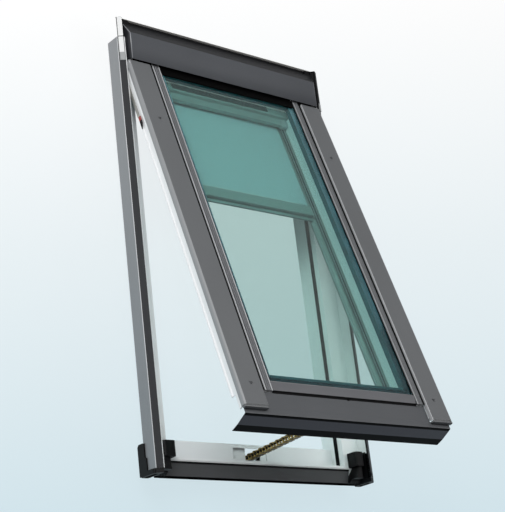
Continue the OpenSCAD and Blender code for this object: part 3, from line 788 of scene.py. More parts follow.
def arc_points(points: Sequence[Point], radii: Sequence[float], steps: int = 5) -> list[Point]:
    """Rounds the inner corners of an open line.

    Args:
        points: Corners of the line.
        radii: Radius at each corner; those of the two ends are not used.
        steps: Segments in each arc.

    Returns:
        The line with arcs.
    """
    line = [points[0]]
    for before, corner, after, radius in zip(points, points[1:], points[2:], radii[1:]):
        here = Vector(corner)
        back = (Vector(before) - here).normalized()
        ahead = (Vector(after) - here).normalized()
        half = back.angle(ahead) / 2
        reach = radius / math.tan(half)
        centre = here + (back + ahead).normalized() * (radius / math.sin(half))
        first = here + back * reach - centre
        last = here + ahead * reach - centre
        sweep = first.angle_signed(last)
        for step in range(steps + 1):
            turn = Matrix.Rotation(-sweep * step / steps, 2)
            line.append(tuple(centre + turn @ first))
    line.append(points[-1])
    return line


def sheet_outline(line: Sequence[Point], thickness: float) -> list[Point]:
    """Closed outline of a sheet whose outer face follows a line, with the metal on the line's right.

    Args:
        line: Section of the outer face.
        thickness: Thickness of the metal, negative for metal on the line's left.

    Returns:
        The outline.
    """
    inner = []
    count = len(line)
    for i, point in enumerate(line):
        ahead = Vector(line[min(i + 1, count - 1)]) - Vector(point)
        back = Vector(point) - Vector(line[max(i - 1, 0)])
        normals = [Vector((d.y, -d.x)).normalized() for d in (back, ahead) if d.length > NO_LENGTH]
        mean = sum(normals, Vector((0, 0))).normalized()
        inner.append(tuple(Vector(point) + mean * (thickness / max(MITRE_LIMIT, mean.dot(normals[0])))))
    return list(line) + inner[::-1]


class Axis(Enum):
    """The direction that a section is pulled along."""

    X = 0
    Y = 1


def pulled(outline: Sequence[Point], axis: Axis, start: float, end: float) -> Shape:
    """Pulls a closed outline along an axis.

    Args:
        outline: Points in X and Z for a pull along Y, and in Y and Z for one along X.
        axis: The direction.
        start: Where the piece begins.
        end: Where it ends.

    Returns:
        The closed shape.
    """
    shape = bmesh.new()
    rings = []
    for along in (start, end):
        ring = []
        for u, z in outline:
            place = (along, u, z) if axis is Axis.X else (u, along, z)
            ring.append(shape.verts.new(place))
        rings.append(ring)
    count = len(outline)
    for i in range(count):
        j = (i + 1) % count
        shape.faces.new((rings[0][i], rings[0][j], rings[1][j], rings[1][i]))
    for ring in rings:
        cap = shape.faces.new(ring)
        bmesh.ops.triangulate(shape, faces=[cap])
    return shape


def slab(x: Sizes, y: Sizes, z: Sizes, radius: float, steps: int = 2) -> Shape:
    """A box with all edges rounded.

    Args:
        x: Its two ends across the width.
        y: Its two ends along the slope.
        z: Its bottom and top.
        radius: Radius of the edges.
        steps: Segments across an edge.

    Returns:
        The shape.
    """
    shape = bmesh.new()
    low, high = (Vector(corner) for corner in zip(*map(sorted, (x, y, z))))
    place = Matrix.Translation((high + low) / 2) @ Matrix.Diagonal((*(high - low), 1.0))
    bmesh.ops.create_cube(shape, size=1.0, matrix=place)
    round_edges(shape, shape.edges[:], radius, steps)
    return shape


def joined(shapes: Iterable[Shape]) -> Shape:
    """One mesh out of several, which are freed.

    Args:
        shapes: The shapes.

    Returns:
        The whole.
    """
    whole = bmesh.new()
    for shape in shapes:
        mesh = bpy.data.meshes.new("part")
        shape.to_mesh(mesh)
        shape.free()
        whole.from_mesh(mesh)
        bpy.data.meshes.remove(mesh)
    return whole


def lozenge(shape: Shape, place: Vector, slant: float, size: Sequence[float]) -> None:
    """Adds a flat-bottomed lozenge with a ridge.

    Args:
        shape: The mesh that it joins.
        place: Middle of its base.
        slant: Turn about Z.
        size: Half length, half width and height.
    """
    length, width, height = size
    turn = Matrix.Rotation(slant, 3, "Z")
    rim = [(length, 0, 0), (0, width, 0), (-length, 0, 0), (0, -width, 0)]
    ridge = [(length * RIDGE_SHARE, 0, height), (-length * RIDGE_SHARE, 0, height)]
    low = [shape.verts.new(place + turn @ Vector(p)) for p in rim]
    top = [shape.verts.new(place + turn @ Vector(p)) for p in ridge]
    shape.faces.new(low[::-1])
    shape.faces.new((low[0], low[1], top[0]))
    shape.faces.new((low[3], low[0], top[0]))
    shape.faces.new((low[2], low[3], top[1]))
    shape.faces.new((low[1], low[2], top[1]))
    shape.faces.new((low[1], top[1], top[0]))
    shape.faces.new((low[3], top[0], top[1]))


@dataclass
class Lining:
    """White frame: jambs, sill and head, with the seal and the mounting screws."""

    maker: Maker
    edge: float = 1.2 * MM
    opening_x: Sizes = mm(-324, 313)
    opening_y: Sizes = mm(-620, 520)
    wall_face: Sizes = mm(-316, -310)
    lips: Sizes = mm(52, 61)
    lip_t: float = 2.4 * MM
    lip_h: float = 5 * MM
    lip_r: float = 0.8 * MM
    web_rise: float = 1 * MM
    foot: Spans = (mm(-328.5, 328.5), mm(-634.7, -630), mm(80, 84.6))
    white_x: Sizes = mm(-371.3, -368)
    white_z: Sizes = mm(-6, -2)

    def upstand_edge(self) -> None:
        """White edge of the left upstand, beside the cladding's front strip."""
        low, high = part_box("jamb_cover_left")
        shape = slab(self.white_x, (low.y, high.y), off(high.z, self.white_z), 1 * MM, 3)
        self.maker.add("jamb_edge_left", shape, WHITE, Body.FRAME)

    def slimmer(self, place: Vector) -> Vector:
        """Draws the left wall's inner face back, so that the ledge beside the sash is narrow.

        Args:
            place: A corner's place.

        Returns:
            Its new place.
        """
        if self.wall_face[0] < place.x < self.wall_face[1]:
            return Vector((self.opening_x[0], place.y, place.z))
        return place

    def seal(self) -> None:
        """Double black lip around the opening, and the black foot above the sill cladding."""
        x, y, thick = self.opening_x, self.opening_y, self.lip_t
        parts = []
        for z in self.lips:
            height = (z, z + self.lip_h)
            for start in (x[0], x[1] - thick):
                parts.append(slab((start, start + thick), y, height, self.lip_r))
            for start in (y[0], y[1] - thick):
                parts.append(slab(x, (start, start + thick), height, self.lip_r))
        for start in (x[0], x[1] - thick / 2):
            parts.append(slab((start, start + thick / 2), y, off(self.web_rise, self.lips), 0.3 * MM))
        parts.append(slab(*self.foot, self.lip_r))
        self.maker.add("frame_gasket.lips", joined(parts), RUBBER_AND_SHADE, Body.FRAME, ["frame_gasket"])

    def build(self) -> None:
        """Rounds the white members, adds the seal and dresses the screws."""
        for name in ("jamb_left", "jamb_right", "sill_rail", "head_rail"):
            self.maker.soften(name, WHITE, Body.FRAME, self.edge, move=self.slimmer)
        self.seal()
        self.upstand_edge()
        self.maker.dress("frame_screws", SCREW_DARK)


@dataclass
class Cladding:
    """Folded metal on the frame: jamb sheets, sill sheet, head casing and hood, with the corner pieces.

    The wing's section is written in millimetres.
    """

    maker: Maker
    sheet: float = 1.3 * MM
    fold: float = 2.4 * MM
    strip_rise: float = 11 * MM
    strip_w: float = 19 * MM
    hem: float = 6 * MM
    hem_w: float = 1.2 * MM
    sill_drip: float = 20 * MM
    sill_cut: float = 8 * MM
    hood_half: float = 356 * MM
    hood_foot: float = 366 * MM
    hood_rise: float = 8 * MM
    hood_ends: Sizes = mm(619, 658)
    hood_fold: float = 2.6 * MM
    hood_steps: int = 5
    hood_lift: float = 3.8 * MM
    hood_t: float = 1.5 * MM
    roll_r: float = 1.4 * MM
    roll_short: float = 1 * MM
    roll_shift: float = 0.2 * MM
    roll_steps: int = 16
    jamb_end: float = 607 * MM
    joint_w: float = 2.4 * MM
    wing: Sequence[Point] = ((364.5, 0), (364.5, 1.5), (374.8, 1.5), (375, 10.4), (387, 3.5), (387, 0))
    wing_gap: float = 0.2 * MM
    casing_end: Spans = (mm(344, 366), mm(-17, 0), mm(-8, -1))
    deck_z: Sizes = mm(108, 113)
    lip_z: float = 113.5 * MM
    moulding_r: float = 0.8 * MM
    block_above: float = 83 * MM
    block_behind: float = -627 * MM
    block_within: float = 345 * MM
    block_shift: Sizes = mm(-2, 10)
    drip_in: float = 325 * MM
    drip_out: Sizes = mm(346, 388)
    drip_y: Sizes = mm(0, 6)
    liner: Spans = (mm(370.2, 372.2), mm(-660, -588), mm(88, 122))

    def jamb(self, side: Side) -> None:
        """Outer wall, sloped front strip and a hem down beside the sash, in one cladding paint with painted
        light: the wall lighter, the strip in painted shade, painted highlights on the fold and the left
        hem, painted shade on the right hem.

        Args:
            side: The side of the window.
        """
        name = f"jamb_cover_{side.word}"
        low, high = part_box(name)
        outer = side.pick(low, high).x
        inner = outer - side.value * self.strip_w
        front = high.z - self.strip_rise
        corners = [(outer, low.z), (outer, front), (inner, high.z), (inner, high.z - self.hem)]
        line = arc_points(corners, [0, self.fold, self.fold / 2, 0])
        shape = pulled(sheet_outline(line, self.sheet * -side.value), Axis.Y, low.y, high.y)
        piece = self.maker.add(name + ".sheet", shape, SIDE_GREY_LIT, Body.FRAME, [name])
        inside = inner + side.value * self.hem_w

        def part(face: Face) -> int:
            """Wall, front strip in painted shade, the hem at the strip's inner edge with a painted
            highlight on the left and painted shade on the right, or the fold with a painted highlight.

            Args:
                face: A face of the piece.

            Returns:
                Number of its finish.
            """
            if (face.center.x - inside) * side.value < 0:
                return 2
            if 0.55 < face.normal.x * side.value < 0.97:
                return 3
            return int(face.normal.z > 0.7)

        # Painted light: the strip darker as shade, the fold and the left hem lighter as highlights, the
        # right hem dark as painted shade.
        self.maker.paint(piece, (STRIP_GREY_SHADED, side.pick(STRIP_HEM_HIGHLIGHT, END_DARK_AND_SHADE), STRIP_FOLD_HIGHLIGHT), part)

    def sill(self) -> None:
        """Sloped sheet with a drip edge, its down-facing faces in near-black painted shade."""
        low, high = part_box("sill_cover")
        slope = (high.z - low.z - self.sill_drip) / (high.y - low.y)
        top = (high.y - self.sill_cut, high.z - slope * self.sill_cut)
        corners = [(low.y, low.z - self.sill_cut), (low.y, low.z + self.sill_drip), top]
        outline = sheet_outline(arc_points(corners, [0, self.fold, 0]), self.sheet)
        shape = pulled(outline, Axis.X, low.x, high.x)
        piece = self.maker.add("sill_cover.sheet", shape, SILL_GREY, Body.FRAME, ["sill_cover"])
        # Down-facing faces of the sheet get near-black painted shade.
        self.maker.paint(piece, (DRIP_BLACK_AND_SHADE,), lambda face: int(face.normal.z < 0.5))

    def hood(self) -> None:
        """One folded sheet: face, band that slopes back, two cheeks and a rolled lower edge."""
        low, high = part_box("hood")
        y_low = low.y + self.roll_r + self.hood_lift
        y_face, y_back = self.hood_ends
        foot = low.z + self.hood_rise
        half = self.hood_half
        shape = bmesh.new()
        rings = []
        for out, back, z in ((half, y_face, high.z), (self.hood_foot, y_back, foot)):
            rim = ((-out, y_low), (out, y_low), (out, back), (-out, back))
            rings.append([shape.verts.new((x, y, z)) for x, y in rim])
        face, feet = rings
        shape.faces.new(face)
        for i, j in ((1, 2), (2, 3), (3, 0)):
            shape.faces.new((face[i], feet[i], feet[j], face[j]))
        folds = [e for e in shape.edges if e.is_manifold]
        settings = {"offset": self.hood_fold, "segments": self.hood_steps, "profile": 0.5}
        bmesh.ops.bevel(shape, geom=folds, affect="EDGES", **settings)
        bmesh.ops.recalc_face_normals(shape, faces=shape.faces)
        piece = self.maker.add("hood.sheet", shape, HOOD_GREY, Body.FRAME, ["hood"])

        def part(face: Face) -> int:
            """Face, band in painted shade, cheek, or the fold beside a cheek with a painted highlight.

            Args:
                face: A face of the piece.

            Returns:
                Number of its finish.
            """
            if face.normal.y > 0.45:
                return 1
            if abs(face.normal.x) > 0.75:
                return 2
            return 3 if abs(face.normal.x) > 0.25 else 0

        # The band gets painted shade and the folds beside the cheeks a painted highlight.
        self.maker.paint(piece, (HOOD_BAND_SHADE, HOOD_CHEEK, HOOD_FOLD_HIGHLIGHT), part)
        thick = piece.modifiers.new("sheet", "SOLIDIFY")
        thick.thickness = self.hood_t
        thick.offset = -1
        turns = [2 * math.pi * i / self.roll_steps for i in range(self.roll_steps)]
        y, z, radius = y_low + self.roll_shift, high.z - self.roll_r, self.roll_r
        ring = [(y + radius * math.cos(a), z + radius * math.sin(a)) for a in turns]
        roll = pulled(ring, Axis.X, -half + self.roll_short, half - self.roll_short)
        self.maker.add("hood.hem", roll, HOOD_GREY, Body.FRAME)
        for side in Side:
            self.hood_end(side, foot, high.y)

    def hood_end(self, side: Side, foot: float, back: float) -> None:
        """Flange beside a cheek that closes the end of the head, and the end of the casing behind it.

        Args:
            side: The side.
            foot: Height of the hood's foot.
            back: The casing's rear edge.
        """
        outline = [(side.value * x * MM, foot + z * MM) for x, z in self.wing]
        wing = pulled(outline, Axis.Y, self.jamb_end + self.wing_gap, back)
        # On the right the dark flange also stands for the hood's cast shadow, as painted shade.
        self.maker.add(f"hood.wing_{side.word}", wing, END_DARK_AND_SHADE, Body.FRAME)
        x, y, z = self.casing_end
        end = slab(side.span(x), off(back, y), off(foot, z), 0.5 * MM)
        self.maker.add(f"head_casing.end_{side.word}", end, END_DARK_AND_SHADE, Body.FRAME)

    def casing(self) -> None:
        """Metal casing over the head, with painted shade on the deck and a painted highlight on the lip."""
        piece = self.maker.soften("head_casing", HEAD_GREY, Body.FRAME, 0.5 * MM)

        def part(face: Face) -> int:
            """Side, deck in painted shade, or the lip with a painted highlight.

            Args:
                face: A face of the piece.

            Returns:
                Number of its finish.
            """
            if face.center.z > self.lip_z:
                return 2
            return int(self.deck_z[0] < face.center.z < self.deck_z[1])

        # The deck gets a painted shadow line and the lip a painted highlight.
        self.maker.paint(piece, (END_DARK_AND_SHADE, HEAD_LIP_HIGHLIGHT), part)

    def slimmer(self, place: Vector) -> Vector:
        """Draws the inner side of a corner's upright block towards the jamb.

        Args:
            place: A corner's place.

        Returns:
            Its new place.
        """
        inner = place.y > self.block_behind and abs(place.x) < self.block_within
        if inner and place.z > self.block_above:
            return place + Vector((self.block_shift[0 if place.x < 0 else 1], 0, 0))
        return place

    def corner(self, side: Side) -> None:
        """Black corner piece with its dark liner and the end of the drip edge below it.

        Args:
            side: The side of the window.
        """
        name = f"corner_block_{side.word}"
        self.maker.soften(name, BLACK, Body.FRAME, self.moulding_r, move=self.slimmer)
        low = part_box("sill_cover")[0]
        reach = side.span((self.drip_in, side.pick(*self.drip_out)))
        heights = off(low.z, (-self.sill_cut, self.sill_drip))
        drip = slab(reach, off(low.y, self.drip_y), heights, 1 * MM)
        x, y, z = self.liner
        liner = slab(side.span(x), y, z, 0.5 * MM)
        self.maker.add(f"corner_foot_{side.word}", joined((drip, liner)), DRIP_BLACK_AND_SHADE, Body.FRAME)

    def build(self) -> None:
        """All sheets of the frame and its corner pieces."""
        for side in Side:
            self.jamb(side)
            # The right casing end is painted dark as the hood's cast shadow; the left keeps its white trim.
            trim = side.pick(WHITE_TRIM, END_DARK_AND_SHADE)
            strip = self.maker.soften(f"casing_end_{side.word}", trim, Body.FRAME, self.moulding_r, 3)
            self.maker.joint(strip, self.jamb_end, self.joint_w, END_DARK_AND_SHADE)
        self.sill()
        self.hood()
        self.casing()
        self.maker.soften("hood_clips", CLIP_GREY, Body.FRAME, self.moulding_r)
        for side in Side:
            self.corner(side)


@dataclass
class Hinges:
    """Plates, pins and arms that carry the sash."""

    maker: Maker
    metal_r: float = 0.3 * MM

    def build(self) -> None:
        """Dresses the hinge metal and the clips at the arms' ends."""
        for side in Side:
            self.maker.soften(f"hinge_plate_{side.word}", ZINC, Body.FRAME, self.metal_r)
            self.maker.soften(f"hinge_arm_{side.word}", ZINC, Body.SASH, self.metal_r)
        self.maker.dress("hinge_pins", ZINC)
        self.maker.soften("hinge_clips", RED, Body.SASH, 0.5 * MM)
        self.maker.soften("arm_ends", BLACK, Body.SASH, 0.4 * MM)


@dataclass
class Drive:
    """Chain drive: casing in the sill, chain and the bracket on the sash."""

    maker: Maker
    foot: Vector = field(default_factory=lambda: Vector((0, -597, 19)) * MM)
    closed_share: float = 0.075
    stout: float = 1.5
    core_x: Sizes = mm(-3.6, 3.6)
    core_y: Sizes = mm(-3.4, 3.4)
    core_short: float = 8 * MM
    tray_x: Spans = (mm(-60, -8), mm(37, 60))
    tray_y: Sizes = mm(8, -3)
    tray_drop: Sizes = mm(12, 2.3)
    tray_t: float = 1 * MM

    def chain(self) -> None:
        """The pushed-out chain, which shortens as the sash closes."""
        shape = bmesh.new()
        shape.from_mesh(self.maker.node("chain").data)
        bmesh.ops.remove_doubles(shape, verts=shape.verts, dist=SAME_PLACE)
        low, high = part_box("chain")
        along = Vector((0, high.y - low.y, high.z - low.z)).normalized()
        for vertex in shape.verts:
            axis = self.foot + along * (vertex.co - self.foot).dot(along)
            vertex.co = axis + (vertex.co - axis) * self.stout
        piece = self.maker.add("chain.links", shape, BRASSY, Body.FRAME, ["chain"])
        self.maker.paint(piece, (CHAIN_STEEL,), lambda face: int(abs(face.normal.y) > 0.8))
        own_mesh(piece)
        self.core(along, high.z)

    def core(self, along: Vector, top: float) -> None:
        """Dark core between the plates.

        Args:
            along: Direction of the chain.
            top: Height of its upper end.
        """
        length = (top - self.foot.z) / along.z - self.core_short
        shape = slab(self.core_x, self.core_y, (0, length), 0.8 * MM)
        lean = Vector((0, 0, 1)).rotation_difference(along).to_matrix().to_4x4()
        shape.transform(Matrix.Translation(self.foot) @ lean)
        piece = self.maker.add("chain.core", shape, CHAIN_DARK, Body.FRAME)
        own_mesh(piece)

    def tray(self) -> None:
        """White floor under the slot, on both sides of the chain and its sprocket."""
        low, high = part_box("actuator_casing")
        along = (low.y + self.tray_y[0], high.y + self.tray_y[1])
        for number, (reach, drop) in enumerate(zip(self.tray_x, self.tray_drop)):
            top = high.z - drop
            shape = slab(reach, along, (top - self.tray_t, top), 0.3 * MM)
            self.maker.add(f"slot_tray_{number}", shape, DRIVE_WHITE, Body.FRAME)

    def build(self) -> None:
        """All pieces of the drive."""
        self.maker.soften("actuator_casing", DRIVE_WHITE, Body.FRAME, 0.8 * MM)
        self.maker.dress("actuator_motor", MOTOR)
        self.maker.dress("drive_sprocket", ZINC)
        self.tray()
        self.chain()
        self.maker.soften("chain_bracket", ZINC, Body.SASH, 0.4 * MM)
        self.maker.dress("chain_end", ZINC)
        self.maker.dress("bracket_pin", ZINC)


@dataclass
class SashFrame:
    """White sash members under grey covers, with the folded bottom cover."""

    maker: Maker
    member_r: float = 0.7 * MM
    cover_t: float = 1.5 * MM
    cover_radii: Sizes = mm(0, 3.5, 7, 0)
    cover_rise: float = 3.5 * MM
    cap_drop: float = 0.9 * MM
    cap_r: float = 3.8 * MM
    sheet: float = 1.3 * MM
    skirt_brow: float = 12.7 * MM
    skirt_fold: Sizes = mm(3, 25)
    skirt_lip: float = 2.4 * MM
    skirt_radii: Sizes = mm(0, 2.5, 2, 0.4, 0)
    brow_band: Sizes = mm(0.5, 2.6)
    groove_share: Point = (0.03, 0.2)
    groove_t: float = 0.25 * MM
    plate_lap: float = 0.5 * MM
    nub: Spans = (mm(4, 11), mm(-5, 0), mm(0, 3))
    reveal_x: Sizes = mm(250.5, 254)
    reveal_y: Sizes = mm(-578, 512)
    reveal_z: Sizes = mm(44, 92)
    rail_lip: Sizes = mm(495, 505)
    top_edge: float = 499.5 * MM

    def cover(self, side: Side) -> None:
        """A side cover with round long edges.

        Args:
            side: The side of the window.
        """
        name = f"side_cover_{side.word}"
        low, high = self.maker.closed_box(name)
        outer, inner = side.pick((low.x, high.x), (high.x, low.x))
        corners = [(inner, low.z + self.cover_rise), (inner, high.z), (outer, high.z), (outer, low.z)]
        outline = sheet_outline(arc_points(corners, self.cover_radii, 7), self.cover_t * side.value)
        piece = self.maker.hang(name + ".sheet", pulled(outline, Axis.Y, low.y, high.y), COVER_GREY, [name])

        def edge(face: Face) -> int:
            """Top, outer edge with a painted highlight, or the lip beside the bead with a painted
            highlight.
            """
            lean = face.normal.x * side.value
            return 2 if lean < -0.55 else int(lean > 0.3)

        # Both rounded edges get a painted highlight.
        self.maker.paint(piece, (COVER_EDGE_HIGHLIGHT, COVER_LIP_HIGHLIGHT), edge)

    def cover_end(self, side: Side) -> None:
        """The rounded lower end of a side cover.

        Args:
            side: The side of the window.
        """
        name = f"cover_end_{side.word}"
        low, high = self.maker.closed_box(name)
        high.z -= self.cap_drop
        piece = self.maker.hang(name + ".cap", slab(*zip(low, high), self.cap_r, 5), COVER_GREY, [name])
        ahead = self.maker.opening.ahead
        under = self.maker.opening.matrix.to_3x3() @ Vector((0, 0, -1))

        def part(face: Face) -> int:
            """Top and sides, front end in painted shade, or underside in painted shade.

            Args:
                face: A face of the piece.

            Returns:
                Number of its finish.
            """
            if face.normal.dot(under) > 0.3:
                return 2
            return int(face.normal.dot(ahead) > 0.5)

        # The front end and the underside get painted shade.
        self.maker.paint(piece, (COVER_END_SHADE, SKIRT_SHADE), part)

    def bottom(self) -> None:
        """Bottom cover: a flat face between the side covers, and a skirt with two facets and a lip, the
        facets in painted shade.
        """
        name = "bottom_cover"
        low, high = self.maker.closed_box(name)
        inner = self.maker.closed_box("side_cover_right")[0].x
        end = self.maker.closed_box("cover_end_left")[1].y
        brow = (low.y + self.skirt_brow, high.z)
        fold = (low.y + self.skirt_fold[0], low.z + self.skirt_fold[1])
        corners = [(end, high.z), brow, fold, (low.y, low.z), (low.y + self.skirt_lip, low.z)]
        outline = sheet_outline(arc_points(corners, self.skirt_radii, 6), -self.sheet)
        skirt = self.maker.hang(name + ".skirt", pulled(outline, Axis.X, low.x, high.x), FACE_GREY, [name])
        back = self.maker.opening.matrix.inverted()

        def part(face: Face) -> int:
            """Flat face, upper facet in painted shade, or lower facet and brow band in darker painted
            shade.

            Args:
                face: A face of the piece.

            Returns:
                Number of its finish.
            """
            height = (back @ face.center).z
            if height < fold[1] + 1 * MM or self.brow_band[0] < high.z - height < self.brow_band[1]:
                return 2
            return int(height < high.z - 1.5 * MM)

        # Facets and brow band get painted shade.
        self.maker.paint(skirt, (SKIRT_GREY_SHADED, SKIRT_SHADE), part)
        self.groove(brow, fold, (low.x + 1 * MM, high.x - 1 * MM))
        along, heights = (end - self.plate_lap, high.y), (high.z - self.sheet, high.z)
        self.maker.hang(name + ".face", slab((-inner, inner), along, heights, 0.4 * MM, 3), FACE_GREY)
        x, y, z = self.nub
        self.maker.hang("cover_nub", slab(x, off(high.y, y), off(high.z, z), 1.2 * MM, 3), BLACK_TRIM)

    def groove(self, brow: Point, fold: Point, reach: Point) -> None:
        """Painted shadow line under the brow of the skirt, a dark strip where the groove is shaded.

        Args:
            brow: The fold above the upper facet, in the closed sash.
            fold: The fold below it.
            reach: X of its two ends.
        """
        start = Vector(brow)
        down = Vector(fold) - start
        out = Vector((down.y, -down.x)).normalized() * self.groove_t
        rim = [start + down * share for share in self.groove_share]
        outline = [rim[0] + out, rim[1] + out, rim[1] - out, rim[0] - out]
        self.maker.hang("skirt_groove", pulled(outline, Axis.X, *reach), SKIRT_SHADE)

    def reveal(self) -> None:
        """White inner faces of the sash under the glass, down to the blind."""
        (x, out), y, z = self.reveal_x, self.reveal_y, self.reveal_z
        faces = (((-out, -x), y), ((x, out), y), ((-x, x), (y[0], y[0] + out - x)))
        self.maker.hang("sash_reveal", joined(slab(*face, z, 0.6 * MM) for face in faces), REVEAL)

    def shorter(self, shut: Vector) -> Vector:
        """Draws the top rail's lip under the glass back to the end of the unit.

        Args:
            shut: A corner's place in the closed sash.

        Returns:
            Its new place.
        """
        if shut.y < self.rail_lip[0]:
            shut.y = self.rail_lip[1]
        return shut

    def higher(self, shut: Vector) -> Vector:
        """Draws the lower edge of the top cover up."""
        return Vector((shut.x, max(shut.y, self.top_edge), shut.z))

    def build(self) -> None:
        """All members and covers of the sash."""
        for name in ("sash_stile_left", "sash_stile_right", "sash_bottom_rail"):
            self.maker.soften(name, WHITE, Body.SASH, self.member_r)
        shorter = self.maker.shut(self.shorter)
        self.maker.soften("sash_top_rail", WHITE, Body.SASH, self.member_r, move=shorter)
        for side in Side:
            self.cover(side)
            self.cover_end(side)
        self.bottom()
        self.reveal()
        higher = self.maker.shut(self.higher)
        self.maker.soften("top_cover", BLACK_TRIM, Body.SASH, self.member_r, move=higher)
        self.maker.dress("cover_screws", SCREW)


@dataclass
class Glazing:
    """Sealed glass unit with its spacer and ridged beads."""

    maker: Maker
    bead_w: float = 35 * MM
    insets: Sizes = mm(-3, 6)
    knurl_pitch: float = 4 * MM
    knurl_rows: Sizes = mm(10.5, 16.5)
    knurl_slant: float = 0.7
    knurl_size: Sizes = mm(3.2, 1.5, 1.5)
    knurl_base: float = 4.9 * MM
    bed: Spans = (mm(7.5, 19.5), mm(4.5, 5.1))
    gutter_in: Sizes = mm(27, 29.4)
    gutter_out: float = 35.8 * MM
    gutter_z: Sizes = mm(3.4, 5.2)
    seal: Spans = (mm(-1.5, 1.2), mm(0.1, 3))
    ridges: Sizes = mm(2.2, 22)
    ridge_w: float = 3.2 * MM
    ridge_z: Sizes = mm(4.4, 5.7)
    gap: Spans = (mm(-3.5, 0.4), mm(-1, 0.6))
    band_in: float = 44 * MM
    band_y: Sizes = mm(35, 46)
    band_z: float = 3 * MM
    spacer_inner: Sizes = mm(400, 503)
    spacer_edge: float = 502 * MM

    def edge(self, side: Side) -> float:
        """X of a packed bead's inner edge."""
        low, high = self.maker.closed_box(f"glazing_bead_{side.word}")
        return side.pick(high, low).x

    def across(self, side: Side, reach: float) -> float:
        """X at a distance from a bead's inner edge, with that edge drawn back and the outer one kept."""
        inset = side.pick(*self.insets)
        return self.edge(side) + side.value * (inset + reach * (1 - inset / self.bead_w))

    def bead(self, side: Side) -> None:
        """The body of a side bead.

        Args:
            side: The side of the window.
        """
        edge = self.edge(side)

        def fitted(place: Vector) -> Vector:
            """Place of a corner of the bead."""
            return Vector((self.across(side, (place.x - edge) * side.value), place.y, place.z))

        self.maker.soften(f"glazing_bead_{side.word}", BEAD, Body.SASH, 0.4 * MM, move=fitted)

    def knurl(self, side: Side) -> None:
        """Braided strip in the bead: two rows of slanted lozenges on a bed.

        Args:
            side: The side of the window.
        """
        low, high = self.maker.closed_box(f"glazing_bead_{side.word}")
        shape = bmesh.new()
        pitch = self.knurl_pitch
        for i in range(int((high.y - low.y) / pitch)):
            for row, slant in zip(self.knurl_rows, (1, -1)):
                place = (self.across(side, row), low.y + (i + 0.5) * pitch, low.z + self.knurl_base)
                lozenge(shape, Vector(place), slant * self.knurl_slant, self.knurl_size)
        self.maker.hang(f"knurl_{side.word}", shape, KNURL)
        self.strip("knurl_bed", side, *self.bed, BEAD_LOW)

    def strip(self, name: str, side: Side, reach: Sizes, heights: Sizes, finish: Finish = RUBBER_AND_SHADE) -> None:
        """A strip along a bead.

        Args:
            name: The strip's name without its side.
            side: The bead's side.
            reach: Distances of its edges from the bead's inner edge.
            heights: Its bottom and top above the glass.
            finish: Its surface finish.
        """
        low, high = self.maker.closed_box(f"glazing_bead_{side.word}")
        ends = [self.across(side, distance) for distance in reach]
        shape = slab(ends, (low.y, high.y), off(low.z, heights), 0.2 * MM)
        self.maker.hang(f"{name}_{side.word}", shape, finish)

    def bottom(self) -> None:
        """Flat bead below, from one side bead to the other, with a strip of painted shadow in front of it
        and its front face in painted shade.
        """
        low, high = self.maker.closed_box("bottom_bead")
        low.x -= self.insets[0]
        high.x += self.insets[1]

        def ends(place: Vector) -> Vector:
            """Place of a corner of the bead."""
            return Vector((low.x if place.x < 0 else high.x, place.y, place.z))

        bead = self.maker.soften("bottom_bead", BEAD_LOW, Body.SASH, 0.5 * MM, move=ends)
        ahead = self.maker.opening.ahead
        # Painted shade: the bead's front face in black, and the black strip in front of it as a painted
        # shadow line.
        self.maker.paint(bead, (RUBBER_AND_SHADE,), lambda face: int(face.normal.dot(ahead) > 0.6))
        y, z = self.gap
        gap = slab((low.x, high.x), off(low.y, y), off(low.z, z), 0.3 * MM)
        self.maker.hang("bead_gap", gap, RUBBER_AND_SHADE)

    def edge_band(self) -> None:
        """Dark band inside the unit along its lower edge."""
        low, high = self.maker.closed_box("spacer")
        reach = (low.x + self.band_in, high.x - self.band_in)
        heights = (low.z + self.band_z, high.z - self.band_z)
        self.maker.hang("edge_band", slab(reach, off(low.y, self.band_y), heights, 0.5 * MM), SPACER_SIDE)

    def narrower(self, shut: Vector) -> Vector:
        """Draws the spacer's inner edge at the top up under the top cover.

        Args:
            shut: A corner's place in the closed sash.

        Returns:
            Its new place.
        """
        if self.spacer_inner[0] < shut.y < self.spacer_inner[1]:
            shut.y = self.spacer_edge
        return shut

    def build(self) -> None:
        """All pieces of the glazing."""
        for side in Side:
            self.bead(side)
            self.knurl(side)
            # The gutter strip is dark partly as a rubber strip in the groove and partly as painted shade of
            # the gap beside the cover.
            self.strip("bead_gutter", side, (side.pick(*self.gutter_in), self.gutter_out), self.gutter_z)
            self.strip("glass_seal", side, *self.seal)
            for number, edge in enumerate(self.ridges):
                # Ridges get a painted highlight, except the right bead's second ridge, which keeps the
                # bead's tone.
                finish = BEAD if number and side is Side.RIGHT else BEAD_RIDGE_HIGHLIGHT
                self.strip(f"bead_ridge_{number}", side, (edge, edge + self.ridge_w), self.ridge_z, finish)
        self.bottom()
        for name in ("outer_pane", "inner_pane"):
            self.maker.dress(name, GLASS)
        narrower = self.maker.shut(self.narrower)
        spacer = self.maker.soften("spacer", SPACER, Body.SASH, 0.3 * MM, move=narrower)
        # The top keeps the lighter painted-light tone, the sides the darker one.
        self.maker.paint(spacer, (SPACER_SIDE,), lambda face: int(abs(face.normal.z) < 0.8))
        self.edge_band()


